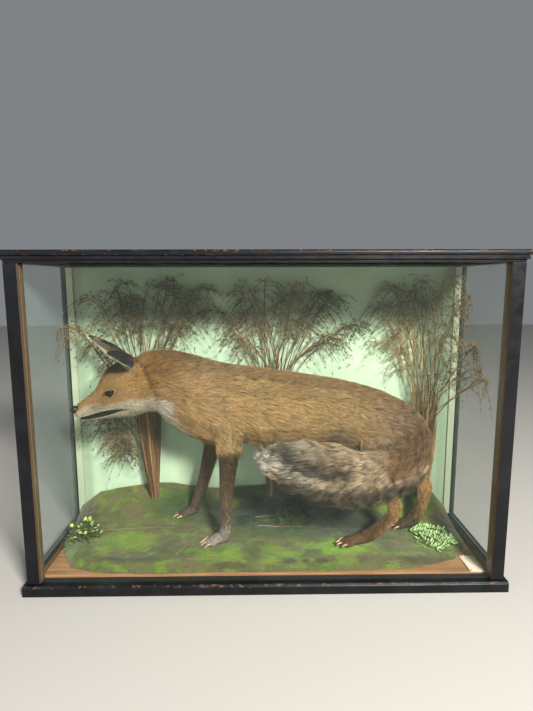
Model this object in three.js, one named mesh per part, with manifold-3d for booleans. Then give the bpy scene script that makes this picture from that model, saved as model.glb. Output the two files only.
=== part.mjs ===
// A red fox, mounted whole on mossy groundwork in a glazed case.
// Millimetres, +Z up. The origin is the middle of the case's footprint, on the surface it stands on.
// The glass front is at -Y. The fox faces -X, so its left side is the near one.
import * as THREE from 'three';
import { mergeVertices } from 'three/addons/utils/BufferGeometryUtils.js';
import Module from 'manifold-3d';

const wasm = await Module();
wasm.setup();
const { Vector3, Matrix4 } = THREE;
const UP = new Vector3(0, 0, 1);
const FORWARD = new Vector3(1, 0, 0); // along the body; legs and stems stand square to it

// ---------------------------------------------------------------- driving dimensions: the case
const CASE_W = 914; // over the corner posts
const CASE_D = 273; // front of the front posts to the back of the case
const CASE_H = 647; // to the top of the lid
const PLINTH_OUT = 7.5; // the plinth and the lid stand proud of the posts
const PLINTH_H = 21;
const POST = 24.5; // front post, square
const BACK_POST_W = 12;
const BACK_POST_D = 24.5;
const FLOOR_Z = 25; // top of the base board
const RAIL_Z = 625; // underside of the top rails
const RAIL_H = 12;
const CORNICE_H = 7; // a fillet under the lid
const CORNICE_OUT = 4;
const SIDE_RAIL_H = 16;
const SIDE_RAIL_W = 20;
const GLASS_T = 2.5;
const GLASS_IN = 8; // the panes lie this far inside the posts' outer faces
const BACK_BOARD_T = 8;
const BASE_BOARD_T = 20;
const PLINTH_EASE = 4; // its top edge is planed off
const LID_EASE = 3;
const STRIP_W = 14; // painted strips in the corners beside the back board
const STRIP_T = 4;
const CARD = { x: [400, 431.5], y: [-112, -54], thick: 1.2 };
const GAP = 0.3; // clearance between touching pieces

const X_OUT = CASE_W / 2;
const Y_BACK = (CASE_D + PLINTH_OUT) / 2;
const Y_FRONT = Y_BACK - CASE_D;
const Y_BOARD = Y_BACK - BACK_POST_D + 3; // front face of the painted back board

// ---------------------------------------------------------------- driving dimensions: the groundwork
const MOSS_FRONT = [[-436, -14], [-425, -62], [-380, -92], [-300, -106], [-100, -106], [150, -104],
  [270, -101], [330, -88], [390, -66], [432, -10]]; // its front edge on the floor, x and y
// x, height over the floor at the back board, early rise behind the front edge, steepness of the back
const MOSS_RISE = [[-436, 40, 12, 2], [-428, 62, 16, 2.4], [-371, 80, 19, 2.8], [-239, 99, 20, 3.1],
  [-144, 82, 20, 3.1], [-85, 81, 20, 3.2], [0, 88, 20, 3.4], [150, 86, 17, 4.2], [300, 84, 15, 4.6],
  [400, 80, 12, 4.2], [432, 30, 8, 3]];
const MOSS_EDGE = 1.4; // thickness where it thins out at the front
const MOSS_BACK = Y_BOARD - STRIP_T - 3 * GAP; // its back edge stands just clear of the corner strips
const MOSS_NX = 20;
const MOSS_NY = 6;

// ---------------------------------------------------------------- driving dimensions: the fox
// Head frame: a runs back from the nose tip, b to the fox's left, c up across the head.
const NOSE = new Vector3(-381, -64, 345);
const HEAD_YAW = 27; // degrees the nose turns out of the body's line, to the glass
const HEAD_PITCH = 17; // degrees the nose points down
// a, half width, top, bottom, level of the widest part
const HEAD = [[2.5, 8, 5.5, -15, -5], [7, 12, 6.5, -22.5, -8], [14, 14.5, 7.5, -28.5, -11],
  [26, 17, 10, -35.5, -14], [40, 19.5, 12.5, -40, -15], [50, 22.5, 16, -43, -15],
  [58, 27, 23, -45.5, -12], [67, 31, 34, -48.5, -9], [78, 36, 44, -52.5, -8], [90, 44, 51, -57, -12],
  [102, 53, 56, -60, -18], [116, 61, 59, -62, -22], [130, 63, 59, -63, -22], [146, 59, 57, -64, -18],
  [160, 50, 50, -60, -10], [170, 36, 36, -46, -6]];
const HEAD_TAPER = 0.16; // the crown is this much narrower than the cheeks
// the line of the open lips: a, level, half height of the slit
const LIPS = [[-4, -19.4, 1.5], [9, -21, 1.9], [24, -24.2, 3.8], [42, -26.6, 5.2], [60, -28.2, 5.2],
  [76, -29.4, 3.8], [90, -30.6, 0.9]];
const MOUTH_RECESS = 3; // the dark lining lies this far inside the lips
// Nose pad: a, half width, half height
const NOSE_PAD = [[-1.5, 3.5, 2.6], [0, 7.5, 6.6], [4, 9.8, 8.6], [10, 9.8, 8.4], [15, 7, 6.6]];
const NOSE_LEVEL = -1.5;
const EYE_R = 9.2;
const EYE_AT = [77.5, 25.5, 10.5]; // a, b, c of the eyeball's centre
const EAR_WIDTH = 24.5; // half width at its widest
const EAR_DEPTH = 15; // half depth of the cup
const EAR_WALL = 3;
// Ears, in the head frame: middle of the root, the way the tip points, the way the cup opens
const EARS = {
  left: { base: [129, 36, 58], axis: [-0.5, 0.69, 0.52], opens: [-0.85, -0.25, -0.46], long: 76 },
  right: { base: [129, -36, 56], axis: [-0.48, -0.5, 0.72], opens: [-0.72, 0.6, -0.46], long: 84 },
};

// Neck and trunk: x, y, z of the section's centre, half width, rise, drop
const TORSO = [[-290, -30, 378, 30, 34, 34], [-268, -22, 383, 46, 58, 56], [-236, -12, 388, 55, 70, 66],
  [-195, -4, 384, 58, 73, 74], [-150, 0, 363, 60, 81, 88], [-105, 1, 347, 62, 83, 92],
  [-50, 1, 340, 64, 83, 84], [10, 1, 335, 66, 80, 80], [70, 1, 331, 64, 75, 73],
  [130, 1, 327, 59, 70, 67], [190, 1, 319, 55, 64, 62], [240, 1, 305, 52, 60, 60],
  [283, 1, 283, 47, 57, 58], [313, 1, 258, 38, 46, 48], [330, 1, 240, 24, 26, 28],
  [337, 1, 232, 9, 10, 10]];
// Legs: x, y, z of the section's centre, half length front to back, half thickness
const FORELEG_LEFT = [
  [-56, -10, 366, 20, 12], [-72, -33, 322, 40, 28], [-77, -40, 264, 30, 24],
  [-76, -38, 238, 24, 18], [-80, -37, 200, 19.5, 15.5], [-82.5, -36, 158, 17, 13.5],
  [-83, -34, 122, 15, 12.5], [-83, -32, 98, 14.5, 13], [-85, -31, 76, 15, 14], [-88, -31, 60, 14, 14]];
const FORELEG_RIGHT = [[-76, 10, 366, 20, 12], [-88, 35, 322, 40, 28], [-105, 42, 264, 31, 24],
  [-118, 44, 228, 22, 18], [-128, 48, 192, 18, 15], [-139, 53, 152, 16, 13.5],
  [-150, 57, 118, 14.5, 12.5], [-157, 59, 98, 14, 13], [-163, 59, 84, 14, 13.5], [-168, 58, 76, 13, 13]];
const HINDLEG_LEFT = [[264, -8, 326, 22, 12], [250, -30, 300, 46, 26], [232, -38, 256, 50, 29],
  [222, -40, 215, 37, 23], [238, -36, 180, 27, 18], [258, -30, 148, 18.5, 14], [272, -27, 124, 17.5, 12.5],
  [268, -27, 102, 17, 12], [248, -30, 84, 15.5, 12.5], [222, -34, 66, 15, 13.5], [206, -36, 58, 13, 13.5]];
const HINDLEG_RIGHT = [[272, 8, 322, 22, 12], [272, 32, 296, 44, 26], [275, 41, 252, 49, 28],
  [290, 38, 214, 40, 22], [318, 35, 184, 29, 17], [345, 32, 158, 20, 13.5], [356, 31, 138, 17.5, 12.5],
  [351, 31, 112, 16, 12], [341, 31, 84, 15.5, 12.5], [330, 31, 66, 15, 13.5], [324, 31, 58, 13, 13]];
// Paws: where the heel pad and the middle toes' tips stand, half width, height
const PAWS = {
  forepaw_left: { heel: [-78, -27, 46], toes: [-131, -40, 45], half: 18, high: 27 },
  forepaw_right: { heel: [-154, 62, 64], toes: [-203, 50, 63], half: 18, high: 25 },
  hindpaw_left: { heel: [214, -35, 45], toes: [150, -44, 44], half: 17, high: 25 },
  hindpaw_right: { heel: [336, 31, 46], toes: [280, 27, 46], half: 17, high: 25 },
};
const CLAW_LENGTH = 9;
// Tail: x, y, z of the section's centre, half depth to the glass, rise, drop
const TAIL = [[300, 16, 300, 18, 18, 18], [317, -6, 286, 28, 30, 28], [312, -34, 258, 36, 38, 36],
  [288, -58, 234, 38, 42, 42], [252, -73, 219, 37, 47, 47], [208, -80, 213, 37, 52, 52],
  [150, -82, 213, 37, 55, 55], [97, -81, 219, 37, 53, 53], [50, -80, 239, 34, 43, 42],
  [12, -79, 249, 25, 28, 28], [-12, -78, 251, 13, 15, 15], [-22, -78, 251, 5, 5, 5]];

// ---------------------------------------------------------------- solids and joins
const slots = {
  ebonised_wood: { color: 0x17181b, roughness: 0.45 },
  bare_wood: { color: 0x9a6a3c, roughness: 0.7 },
  glass: { color: 0xdfeee6, roughness: 0.05, transparent: true, opacity: 0.25 },
  painted_board: { color: 0xb9d6b4, roughness: 0.85 },
  moss: { color: 0x6f8f33, roughness: 1 },
  paper: { color: 0xece4cf, roughness: 0.9 },
  dry_reed: { color: 0x8a6a3a, roughness: 0.85 },
  leaf: { color: 0x86a866, roughness: 0.8 },
  fur: { color: 0xb98a4d, roughness: 0.9 },
  fur_dark: { color: 0x3a2c25, roughness: 0.9 },
  nose_leather: { color: 0x111012, roughness: 0.35 },
  eye_glass: { color: 0x2b1509, roughness: 0.05 },
};

const group = new THREE.Group();

function addMesh(name, geometry, slot) {
  const mesh = new THREE.Mesh(geometry, new THREE.MeshStandardMaterial(slots[slot]));
  mesh.name = name;
  group.add(mesh);
  return mesh;
}

function toSolid(geometry) {
  const bare = geometry.clone();
  bare.deleteAttribute('normal');
  bare.deleteAttribute('uv');
  const merged = mergeVertices(bare, 1e-4);
  return new wasm.Manifold(new wasm.Mesh({
    numProp: 3,
    vertProperties: new Float32Array(merged.attributes.position.array),
    triVerts: new Uint32Array(merged.index.array),
  }));
}

function toGeometry(solid) {
  const mesh = solid.getMesh();
  const geometry = new THREE.BufferGeometry();
  geometry.setAttribute('position', new THREE.BufferAttribute(new Float32Array(mesh.vertProperties), 3));
  geometry.setIndex(new THREE.BufferAttribute(new Uint32Array(mesh.triVerts), 1));
  geometry.computeVertexNormals();
  return geometry;
}

function joined(solids) {
  return solids.reduce((sum, solid) => sum.add(solid));
}

// A closed skin over a list of rings, each a loop of points; its faces are turned to point out.
function ringGeometry(rings) {
  const sides = rings[0].length;
  const points = rings.flat();
  const middle = (ring) => ring.reduce((sum, p) => sum.add(p), new Vector3()).divideScalar(sides);
  const first = points.push(middle(rings[0])) - 1;
  const last = points.push(middle(rings[rings.length - 1])) - 1;
  const end = (rings.length - 1) * sides;
  const faces = [];
  for (let i = 0; i < sides; i += 1) {
    const j = (i + 1) % sides;
    faces.push([first, j, i], [last, end + i, end + j]);
    for (let k = 0; k < end; k += sides) {
      faces.push([k + i, k + j, k + sides + j], [k + i, k + sides + j, k + sides + i]);
    }
  }
  const volume = faces.reduce((sum, [p, q, r]) => sum
    + points[p].dot(new Vector3().crossVectors(points[q], points[r])), 0);
  const geometry = new THREE.BufferGeometry().setFromPoints(points);
  geometry.setIndex(faces.flatMap((f) => (volume < 0 ? [f[0], f[2], f[1]] : f)));
  return geometry;
}

// Values between the rows of a table, eased through them; at runs from 0 to 1 over the rows.
function rowAt(rows, at) {
  const place = at * (rows.length - 1);
  const k = Math.min(Math.floor(place), rows.length - 2);
  const t = place - k;
  const near = (i) => rows[Math.min(Math.max(i, 0), rows.length - 1)];
  return rows[k].map((value, i) => {
    const [p, q, r, s] = [near(k - 1)[i], value, near(k + 1)[i], near(k + 2)[i]];
    return q + 0.5 * t * (r - p + t * (2 * p - 5 * q + 4 * r - s + t * (3 * (q - r) + s - p)));
  });
}

// One loop of a section: half width across, rise and drop, squarer as power grows over 2.
function sectionRing(centre, across, up, half, rise, drop, sides, power = 2.2) {
  return Array.from({ length: sides }, (unused, i) => {
    const turn = (i / sides) * 2 * Math.PI;
    const [c, s] = [Math.cos(turn), Math.sin(turn)];
    const round = (Math.abs(c) ** power + Math.abs(s) ** power) ** (-1 / power);
    return centre.clone().addScaledVector(across, c * round * half)
      .addScaledVector(up, s * round * (s > 0 ? rise : drop));
  });
}

// A body swept over rows of x, y, z, half, rise and drop; across is square to the sweep and to upright.
function sweep(rows, { rings, sides, upright, grow = 0, power = 2.2 }) {
  const table = rows.map((r) => (r.length === 5 ? [...r, r[4]] : r));
  const loops = [];
  for (let i = 0; i < rings; i += 1) {
    const at = i / (rings - 1);
    const [x, y, z, half, rise, drop] = rowAt(table, at);
    const before = rowAt(table, Math.max(at - 0.01, 0));
    const after = rowAt(table, Math.min(at + 0.01, 1));
    const along = new Vector3(after[0] - before[0], after[1] - before[1], after[2] - before[2]).normalize();
    const across = new Vector3().crossVectors(along, upright).normalize();
    const up = new Vector3().crossVectors(across, along).normalize();
    const centre = new Vector3(x, y, z);
    loops.push(sectionRing(centre, across, up, half + grow, rise + grow, drop + grow, sides, power));
  }
  return toSolid(ringGeometry(loops));
}

// ---------------------------------------------------------------- the head's frame
const yaw = THREE.MathUtils.degToRad(HEAD_YAW);
const pitch = THREE.MathUtils.degToRad(HEAD_PITCH);
const A = new Vector3(Math.cos(yaw) * Math.cos(pitch), Math.sin(yaw) * Math.cos(pitch), Math.sin(pitch));
const B = new Vector3(Math.sin(yaw), -Math.cos(yaw), 0);
const C = new Vector3().crossVectors(A, B).negate();
const headMatrix = new Matrix4().makeBasis(A, B, C).setPosition(NOSE);
const inHead = (a, b, c) => new Vector3(a, b, c).applyMatrix4(headMatrix);
const headway = (a, b, c) => new Vector3(a, b, c).transformDirection(headMatrix);

function headSolid(grow = 0) {
  const loops = [];
  const count = 22;
  for (let i = 0; i < count; i += 1) {
    const [a, half, top, bottom, level] = rowAt(HEAD, i / (count - 1));
    const shift = i === 0 ? -grow : i === count - 1 ? grow : 0;
    const rise = top - level + grow;
    const centre = inHead(a + shift, 0, level);
    const ring = sectionRing(centre, B, C, half + grow, rise, level - bottom + grow, 16);
    for (const point of ring) {
      const over = point.clone().sub(centre).dot(C);
      const out = point.clone().sub(NOSE).dot(B);
      point.addScaledVector(B, -out * HEAD_TAPER * Math.max(over / rise, 0));
    }
    loops.push(ring);
  }
  return toSolid(ringGeometry(loops));
}

// The open slit between the lips, right across the muzzle.
function mouthSlit(inset = 0) {
  const reach = 60;
  const loops = LIPS.map(([a, level, half], i) => {
    const at = i === LIPS.length - 1 ? a - 2 * inset : a;
    const open = Math.max(half - inset, 0.4);
    return [[-1, -1], [1, -1], [1, 1], [-1, 1]].map(([b, c]) => inHead(at, b * reach, level + c * open));
  });
  return toSolid(ringGeometry(loops));
}

function nosePad(grow = 0) {
  const loops = NOSE_PAD.map(([a, half, high], i) => {
    const shift = i === 0 ? -grow : i === NOSE_PAD.length - 1 ? grow : 0;
    return sectionRing(inHead(a + shift, 0, NOSE_LEVEL), B, C, half + grow, high + grow, high + grow, 12);
  });
  return toSolid(ringGeometry(loops));
}

function eyeball(side, grow = 0) {
  const [a, b, c] = EYE_AT;
  const centre = inHead(a, side * b, c);
  const ball = new THREE.SphereGeometry(EYE_R + grow, 12, 8);
  return toSolid(ball.translate(centre.x, centre.y, centre.z));
}

// An ear is a pointed leaf, hollowed from the side it opens to.
function earSolid(ear) {
  const axis = headway(...ear.axis).normalize();
  const across = new Vector3().crossVectors(axis, headway(...ear.opens)).normalize();
  const opens = new Vector3().crossVectors(across, axis);
  const base = inHead(...ear.base);
  const widthAt = (t) => EAR_WIDTH * Math.sqrt(Math.max(1 - Math.max(t - 0.25, 0) / 0.75, 0)) ** 1.3
    * (t < 0.25 ? 0.82 + 0.72 * t : 1);
  const depthAt = (t) => EAR_DEPTH * (1 - 0.75 * Math.max(t, 0));
  const leaf = (from, to, hollow) => {
    const loops = [];
    const count = 8;
    for (let i = 0; i < count; i += 1) {
      const t = from + (to - from) * (i / (count - 1));
      const half = Math.max(widthAt(t) - hollow, 1.4);
      const depth = hollow ? depthAt(t) * 1.7 : depthAt(t);
      const shift = hollow ? depth - (depthAt(t) - hollow) : 0;
      const centre = base.clone().addScaledVector(axis, t * ear.long).addScaledVector(opens, shift);
      loops.push(sectionRing(centre, across, opens, half, depth, depth, 9, 2));
    }
    return toSolid(ringGeometry(loops));
  };
  return leaf(-0.2, 1, 0).subtract(leaf(0.1, 0.93, EAR_WALL));
}

function torsoSolid(grow = 0) {
  return sweep(TORSO, { rings: 19, sides: 14, upright: UP, grow });
}

function legSolid(rows) {
  // sections lie level at the top and follow the leg down; half length runs along the body
  return sweep(rows.map(([x, y, z, long, thick]) => [x, y, z, thick, long, long]),
    { rings: 11, sides: 8, upright: FORWARD, power: 2.1 });
}

// A paw: a low pad body and four toes side by side, each drawn out into its claw.
function pawSolid({ heel, toes, half, high }) {
  const back = new Vector3(...heel);
  const front = new Vector3(...toes);
  const along = front.clone().sub(back).normalize();
  const across = new Vector3().crossVectors(along, UP).normalize();
  const length = front.distanceTo(back);
  const at = (s, b, h) => back.clone().addScaledVector(along, s * length).addScaledVector(across, b * half)
    .setZ(back.z + (front.z - back.z) * s + h * high).toArray();
  const tube = (rows, rings, sides) => sweep(rows, { rings, sides, upright: UP, power: 2.1 });
  const pad = tube([[...at(-0.06, 0, 0.5), 6, 6, 6],
    [...at(0.04, 0, 0.52), half * 0.72, high * 0.42, high * 0.5],
    [...at(0.3, 0, 0.53), half * 0.86, high * 0.47, high * 0.53],
    [...at(0.58, 0, 0.46), half * 0.9, high * 0.4, high * 0.46],
    [...at(0.78, 0, 0.38), half * 0.6, high * 0.24, high * 0.34]], 5, 8);
  const claw = CLAW_LENGTH / length;
  const solids = [pad];
  for (const place of [-1.5, -0.5, 0.5, 1.5]) {
    const tip = Math.abs(place) < 1 ? 1 : 0.86;
    const b = place * 0.52;
    const wide = half * 0.3;
    solids.push(tube([[...at(0.5, b * 0.8, 0.4), wide * 0.8, high * 0.2, high * 0.3],
      [...at(tip - 0.24, b, 0.4), wide, high * 0.26, high * 0.36],
      [...at(tip - 0.09, b * 1.02, 0.33), wide, high * 0.25, high * 0.3],
      [...at(tip, b * 1.03, 0.3), 1.8, 2.6, 2.6],
      [...at(tip + claw, b * 1.03, 0.12), 0.5, 0.5, 0.5]], 5, 5));
  }
  return joined(solids);
}

function tailSolid(grow = 0) {
  return sweep(TAIL, { rings: 16, sides: 13, upright: UP, grow });
}

// ---------------------------------------------------------------- the groundwork
// The value in one column of a table, read off at x.
function curveAt(rows, x, column = 1) {
  const past = rows.findIndex((row, i) => i > 0 && x <= row[0]);
  const k = past < 0 ? rows.length - 1 : past;
  const [p, q] = [rows[k - 1], rows[k]];
  return p[column] + (q[column] - p[column]) * Math.min(Math.max((x - p[0]) / (q[0] - p[0]), 0), 1);
}

function mossTop(x, y, lift = 0) {
  const front = curveAt(MOSS_FRONT, x);
  const v = Math.min(Math.max((y - front) / (MOSS_BACK - front), 0), 1);
  const hump = 5 * Math.sin(x / 47 + 1) * Math.sin(y / 33) * Math.min(4 * v, 1) * (1 - v);
  const shoulder = curveAt(MOSS_RISE, x, 2) * (1 - Math.exp(-9 * v));
  const rise = (curveAt(MOSS_RISE, x) - shoulder) * v ** curveAt(MOSS_RISE, x, 3);
  return FLOOR_Z + MOSS_EDGE + shoulder + rise + hump + lift;
}

function mossSolid(lift = 0) {
  const [x0, x1] = [MOSS_FRONT[0][0], MOSS_FRONT[MOSS_FRONT.length - 1][0]];
  const rings = [];
  for (let i = 0; i <= MOSS_NX; i += 1) {
    const x = x0 + (x1 - x0) * (i / MOSS_NX);
    const front = curveAt(MOSS_FRONT, x);
    const ys = Array.from({ length: MOSS_NY + 1 },
      (unused, k) => front + (MOSS_BACK - front) * (k / MOSS_NY) ** 1.3);
    const top = ys.map((y) => new Vector3(x, y, mossTop(x, y, lift)));
    const under = ys.map((y) => new Vector3(x, y, FLOOR_Z + GAP)).reverse();
    rings.push([...top, ...under]);
  }
  return toSolid(ringGeometry(rings));
}

// ---------------------------------------------------------------- reeds and small plants
// A sheaf of dry reeds: stems rise from one tied foot and fan out; each stem's head is x, y, z.
const SHEAVES = {
  reeds_left: { foot: [-262, 86, 60], tie: [-262, 90, 300],
    heads: [[-405, 60, 520], [-330, 100, 604], [-240, 100, 606], [-150, 104, 590]] },
  reeds_middle: { foot: [12, 92, 64], tie: [22, 94, 330],
    heads: [[-88, 104, 540], [0, 100, 606], [110, 100, 600], [196, 104, 520]] },
  reeds_right: { foot: [366, 86, 60], tie: [364, 84, 280],
    heads: [[268, 100, 560], [335, 100, 604], [424, 70, 560], [430, -6, 400]] },
};
const STEM_R = 2.6; // at the foot
const STEM_SPREAD = 5; // the stems stand this far apart at the tie
// Low clumps of leaves set in the moss: x, y, radius along, radius across, height
const CLUMPS = {
  leaves_left: [-392, -4, 42, 34, 40],
  leaves_middle: [52, 36, 40, 26, 24],
  leaves_right: [356, -16, 42, 30, 24],
};

const CLUMP_SUNK = 12; // a clump's foot is set this deep before the moss is taken from it

function sheafSolid({ foot, tie, heads }) {
  const stems = heads.map((head, i) => {
    const fan = (i - (heads.length - 1) / 2) * STEM_SPREAD;
    const bent = [0, 1, 2].map((k) => (k === 0 ? tie[0] + fan + (head[0] - tie[0]) * 0.28
      : tie[k] + (head[k] - tie[k]) * (k === 1 ? 0.3 : 0.42)));
    return sweep([[foot[0] + fan * 0.25, foot[1], foot[2], STEM_R, STEM_R],
      [tie[0] + fan, tie[1], tie[2], STEM_R * 0.85, STEM_R * 0.85],
      [...bent, STEM_R * 0.7, STEM_R * 0.7], [...head, STEM_R * 0.4, STEM_R * 0.4]],
    { rings: 5, sides: 4, upright: FORWARD });
  });
  // the lower leaves wrap the stems in one blade-shaped bundle
  const wrap = sweep([[foot[0], foot[1], foot[2] + 4, 3, 3], [foot[0], foot[1] + 1, foot[2] + 60, 6, 9],
    [(foot[0] + tie[0]) / 2, tie[1], (foot[2] + tie[2]) / 2, 8, 15], [tie[0], tie[1], tie[2] + 16, 7, 22]],
  { rings: 5, sides: 6, upright: FORWARD });
  return joined([...stems, wrap]);
}

function clumpSolid([x, y, long, wide, high]) {
  const loops = [];
  const base = mossTop(x, y);
  for (let i = 0; i < 4; i += 1) {
    const rise = Math.sin((i / 3.4) * (Math.PI / 2));
    const spread = Math.cos((i / 3.4) * (Math.PI / 2));
    loops.push(Array.from({ length: 10 }, (unused, k) => {
      const turn = (k / 10) * 2 * Math.PI;
      const lobe = 1 + 0.09 * Math.sin(3 * turn);
      const out = spread * lobe;
      const z = i === 0 ? base - CLUMP_SUNK : base + rise * high;
      return new Vector3(x + Math.cos(turn) * long * out, y + Math.sin(turn) * wide * out, z);
    }));
  }
  return toSolid(ringGeometry(loops));
}

// ---------------------------------------------------------------- the fox, modelled whole and parted
// A block that takes one part of the body: middle, size, then turns about Y and Z in degrees.
function block([x, y, z], [sx, sy, sz], turnY = 0, turnZ = 0, grow = 0) {
  const box = new THREE.BoxGeometry(sx + 2 * grow, sy + 2 * grow, sz + 2 * grow);
  box.rotateY(THREE.MathUtils.degToRad(turnY)).rotateZ(THREE.MathUtils.degToRad(turnZ));
  return toSolid(box.translate(x, y, z));
}

const moss = mossSolid();
const head = headSolid();
const tail = tailSolid();
const legs = [FORELEG_LEFT, FORELEG_RIGHT, HINDLEG_LEFT, HINDLEG_RIGHT].map(legSolid);
const paws = Object.values(PAWS).map(pawSolid);
const mossGrown = mossSolid(GAP);
let body = joined([torsoSolid(), head, ...legs, ...paws]);
body = body.subtract(mossGrown).subtract(tailSolid(GAP)).subtract(mouthSlit()).subtract(nosePad(GAP));
for (const side of [1, -1]) body = body.subtract(eyeball(side, GAP));

// Each part's block; the parts are taken off in this order and the trunk is what is left.
const PARTS = {
  forepaw_left: [[-104, -34, 58], [100, 70, 60]],
  forepaw_right: [[-190, 56, 66], [104, 70, 40]],
  hindpaw_left: [[172, -40, 40], [110, 60, 60]],
  hindpaw_right: [[300, 28, 44], [110, 70, 52]],
  foreleg_left: [[-84, -50, 120], [110, 100, 284]],
  foreleg_right: [[-140, 50, 120], [150, 96, 284]],
  hindleg_left: [[215, -62, 90], [220, 100, 360], -14],
  hindleg_right: [[290, 58, 90], [230, 92, 370], -10],
  head: [[-360, -80, 380], [240, 300, 300], -17, 27],
  neck: [[-250, -20, 370], [170, 260, 300], -22],
};
for (const [name, [middle, size, turnY = 0, turnZ = 0]] of Object.entries(PARTS)) {
  const taken = body.intersect(block(middle, size, turnY, turnZ));
  body = body.subtract(block(middle, size, turnY, turnZ, GAP));
  addMesh(name, toGeometry(taken), 'fur');
}
addMesh('trunk', toGeometry(body), 'fur');
const TAIL_CUTS = {
  tail_tip: [[-20, -80, 240], [120, 200, 240]],
  tail_middle: [[115, -80, 240], [150, 200, 300]],
};
let tailLeft = tail;
for (const [name, [middle, size]] of Object.entries(TAIL_CUTS)) {
  addMesh(name, toGeometry(tailLeft.intersect(block(middle, size))), 'fur');
  tailLeft = tailLeft.subtract(block(middle, size, 0, 0, GAP));
}
addMesh('tail_base', toGeometry(tailLeft), 'fur');
addMesh('nose', toGeometry(nosePad()), 'nose_leather');
addMesh('mouth_lining', toGeometry(headSolid(-MOUTH_RECESS).intersect(mouthSlit(GAP))), 'nose_leather');
const nape = joined([headSolid(GAP), torsoSolid(GAP)]);
for (const [name, side] of [['left', 1], ['right', -1]]) {
  addMesh(`ear_${name}`, toGeometry(earSolid(EARS[name]).subtract(nape)), 'fur_dark');
  addMesh(`eye_${name}`, toGeometry(eyeball(side)), 'eye_glass');
}

// ---------------------------------------------------------------- the case
// A bar along X or Y whose outer top edge is eased off; section corners are [out, z] from its inner face.
function easedBar(length, along, corners) {
  const shape = new THREE.Shape(corners.map(([out, z]) => new THREE.Vector2(out, z)));
  const bar = new THREE.ExtrudeGeometry(shape, { depth: length, bevelEnabled: false });
  bar.translate(0, 0, -length / 2).rotateX(Math.PI / 2);
  return along === 'x' ? bar.rotateZ(-Math.PI / 2) : bar;
}

function addBox(name, [x0, x1], [y0, y1], [z0, z1], slot) {
  const box = new THREE.BoxGeometry(x1 - x0, y1 - y0, z1 - z0);
  addMesh(name, box, slot).position.set((x0 + x1) / 2, (y0 + y1) / 2, (z0 + z1) / 2);
}

const railTop = RAIL_Z + RAIL_H;
const onPlinth = PLINTH_H + GAP;
const postBack = Y_FRONT + POST;
const sideSpan = [postBack + GAP, Y_BACK - BACK_POST_D - GAP];
const sideIn = X_OUT - SIDE_RAIL_W;
const glassSpan = [onPlinth + SIDE_RAIL_H + GAP, RAIL_Z - GAP];
const edge = (wide, high, ease) => [[0, 0], [wide, 0], [wide, high - ease], [wide - ease, high], [0, high]];

const frontBar = easedBar(2 * (X_OUT + PLINTH_OUT), 'x', edge(POST + PLINTH_OUT, PLINTH_H, PLINTH_EASE));
addMesh('plinth_front', frontBar, 'ebonised_wood').position.set(0, postBack, 0);
addBox('plinth_back', [-sideIn + GAP, sideIn - GAP], [Y_BOARD, Y_BACK], [0, PLINTH_H], 'ebonised_wood');
addBox('base_board', [-sideIn + GAP, sideIn - GAP], [postBack + GAP, Y_BOARD - GAP],
  [FLOOR_Z - BASE_BOARD_T, FLOOR_Z], 'bare_wood');
const boardSide = X_OUT - BACK_POST_W - GAP;
addBox('back_board', [-boardSide, boardSide], [Y_BOARD, Y_BOARD + BACK_BOARD_T], [onPlinth, RAIL_Z - GAP],
  'painted_board');
for (const [name, depth] of [['front', [Y_FRONT, postBack]], ['back', [Y_BACK - BACK_POST_D, Y_BACK]]]) {
  addBox(`top_rail_${name}`, [-X_OUT, X_OUT], depth, [RAIL_Z, railTop], 'ebonised_wood');
}
addBox('cornice_front', [-X_OUT - CORNICE_OUT, X_OUT + CORNICE_OUT],
  [Y_FRONT - CORNICE_OUT, Y_FRONT - GAP], [railTop - CORNICE_H, railTop], 'ebonised_wood');
addBox('glass_front', [-X_OUT + POST + GAP, X_OUT - POST - GAP],
  [Y_FRONT + GLASS_IN, Y_FRONT + GLASS_IN + GLASS_T], [onPlinth, RAIL_Z - GAP], 'glass');
addBox('label_card', CARD.x, CARD.y, [FLOOR_Z + GAP, FLOOR_Z + GAP + CARD.thick], 'paper');
const lidRing = (grow, z) => [[-1, -1], [1, -1], [1, 1], [-1, 1]]
  .map(([x, y]) => new Vector3(x * (X_OUT + PLINTH_OUT + grow), y * (Y_BACK + grow), z));
addMesh('lid', toGeometry(toSolid(ringGeometry([lidRing(-LID_EASE / 2, railTop + GAP),
  lidRing(0, railTop + GAP + LID_EASE / 2), lidRing(0, CASE_H - LID_EASE), lidRing(-LID_EASE, CASE_H)]))),
'ebonised_wood');

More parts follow.
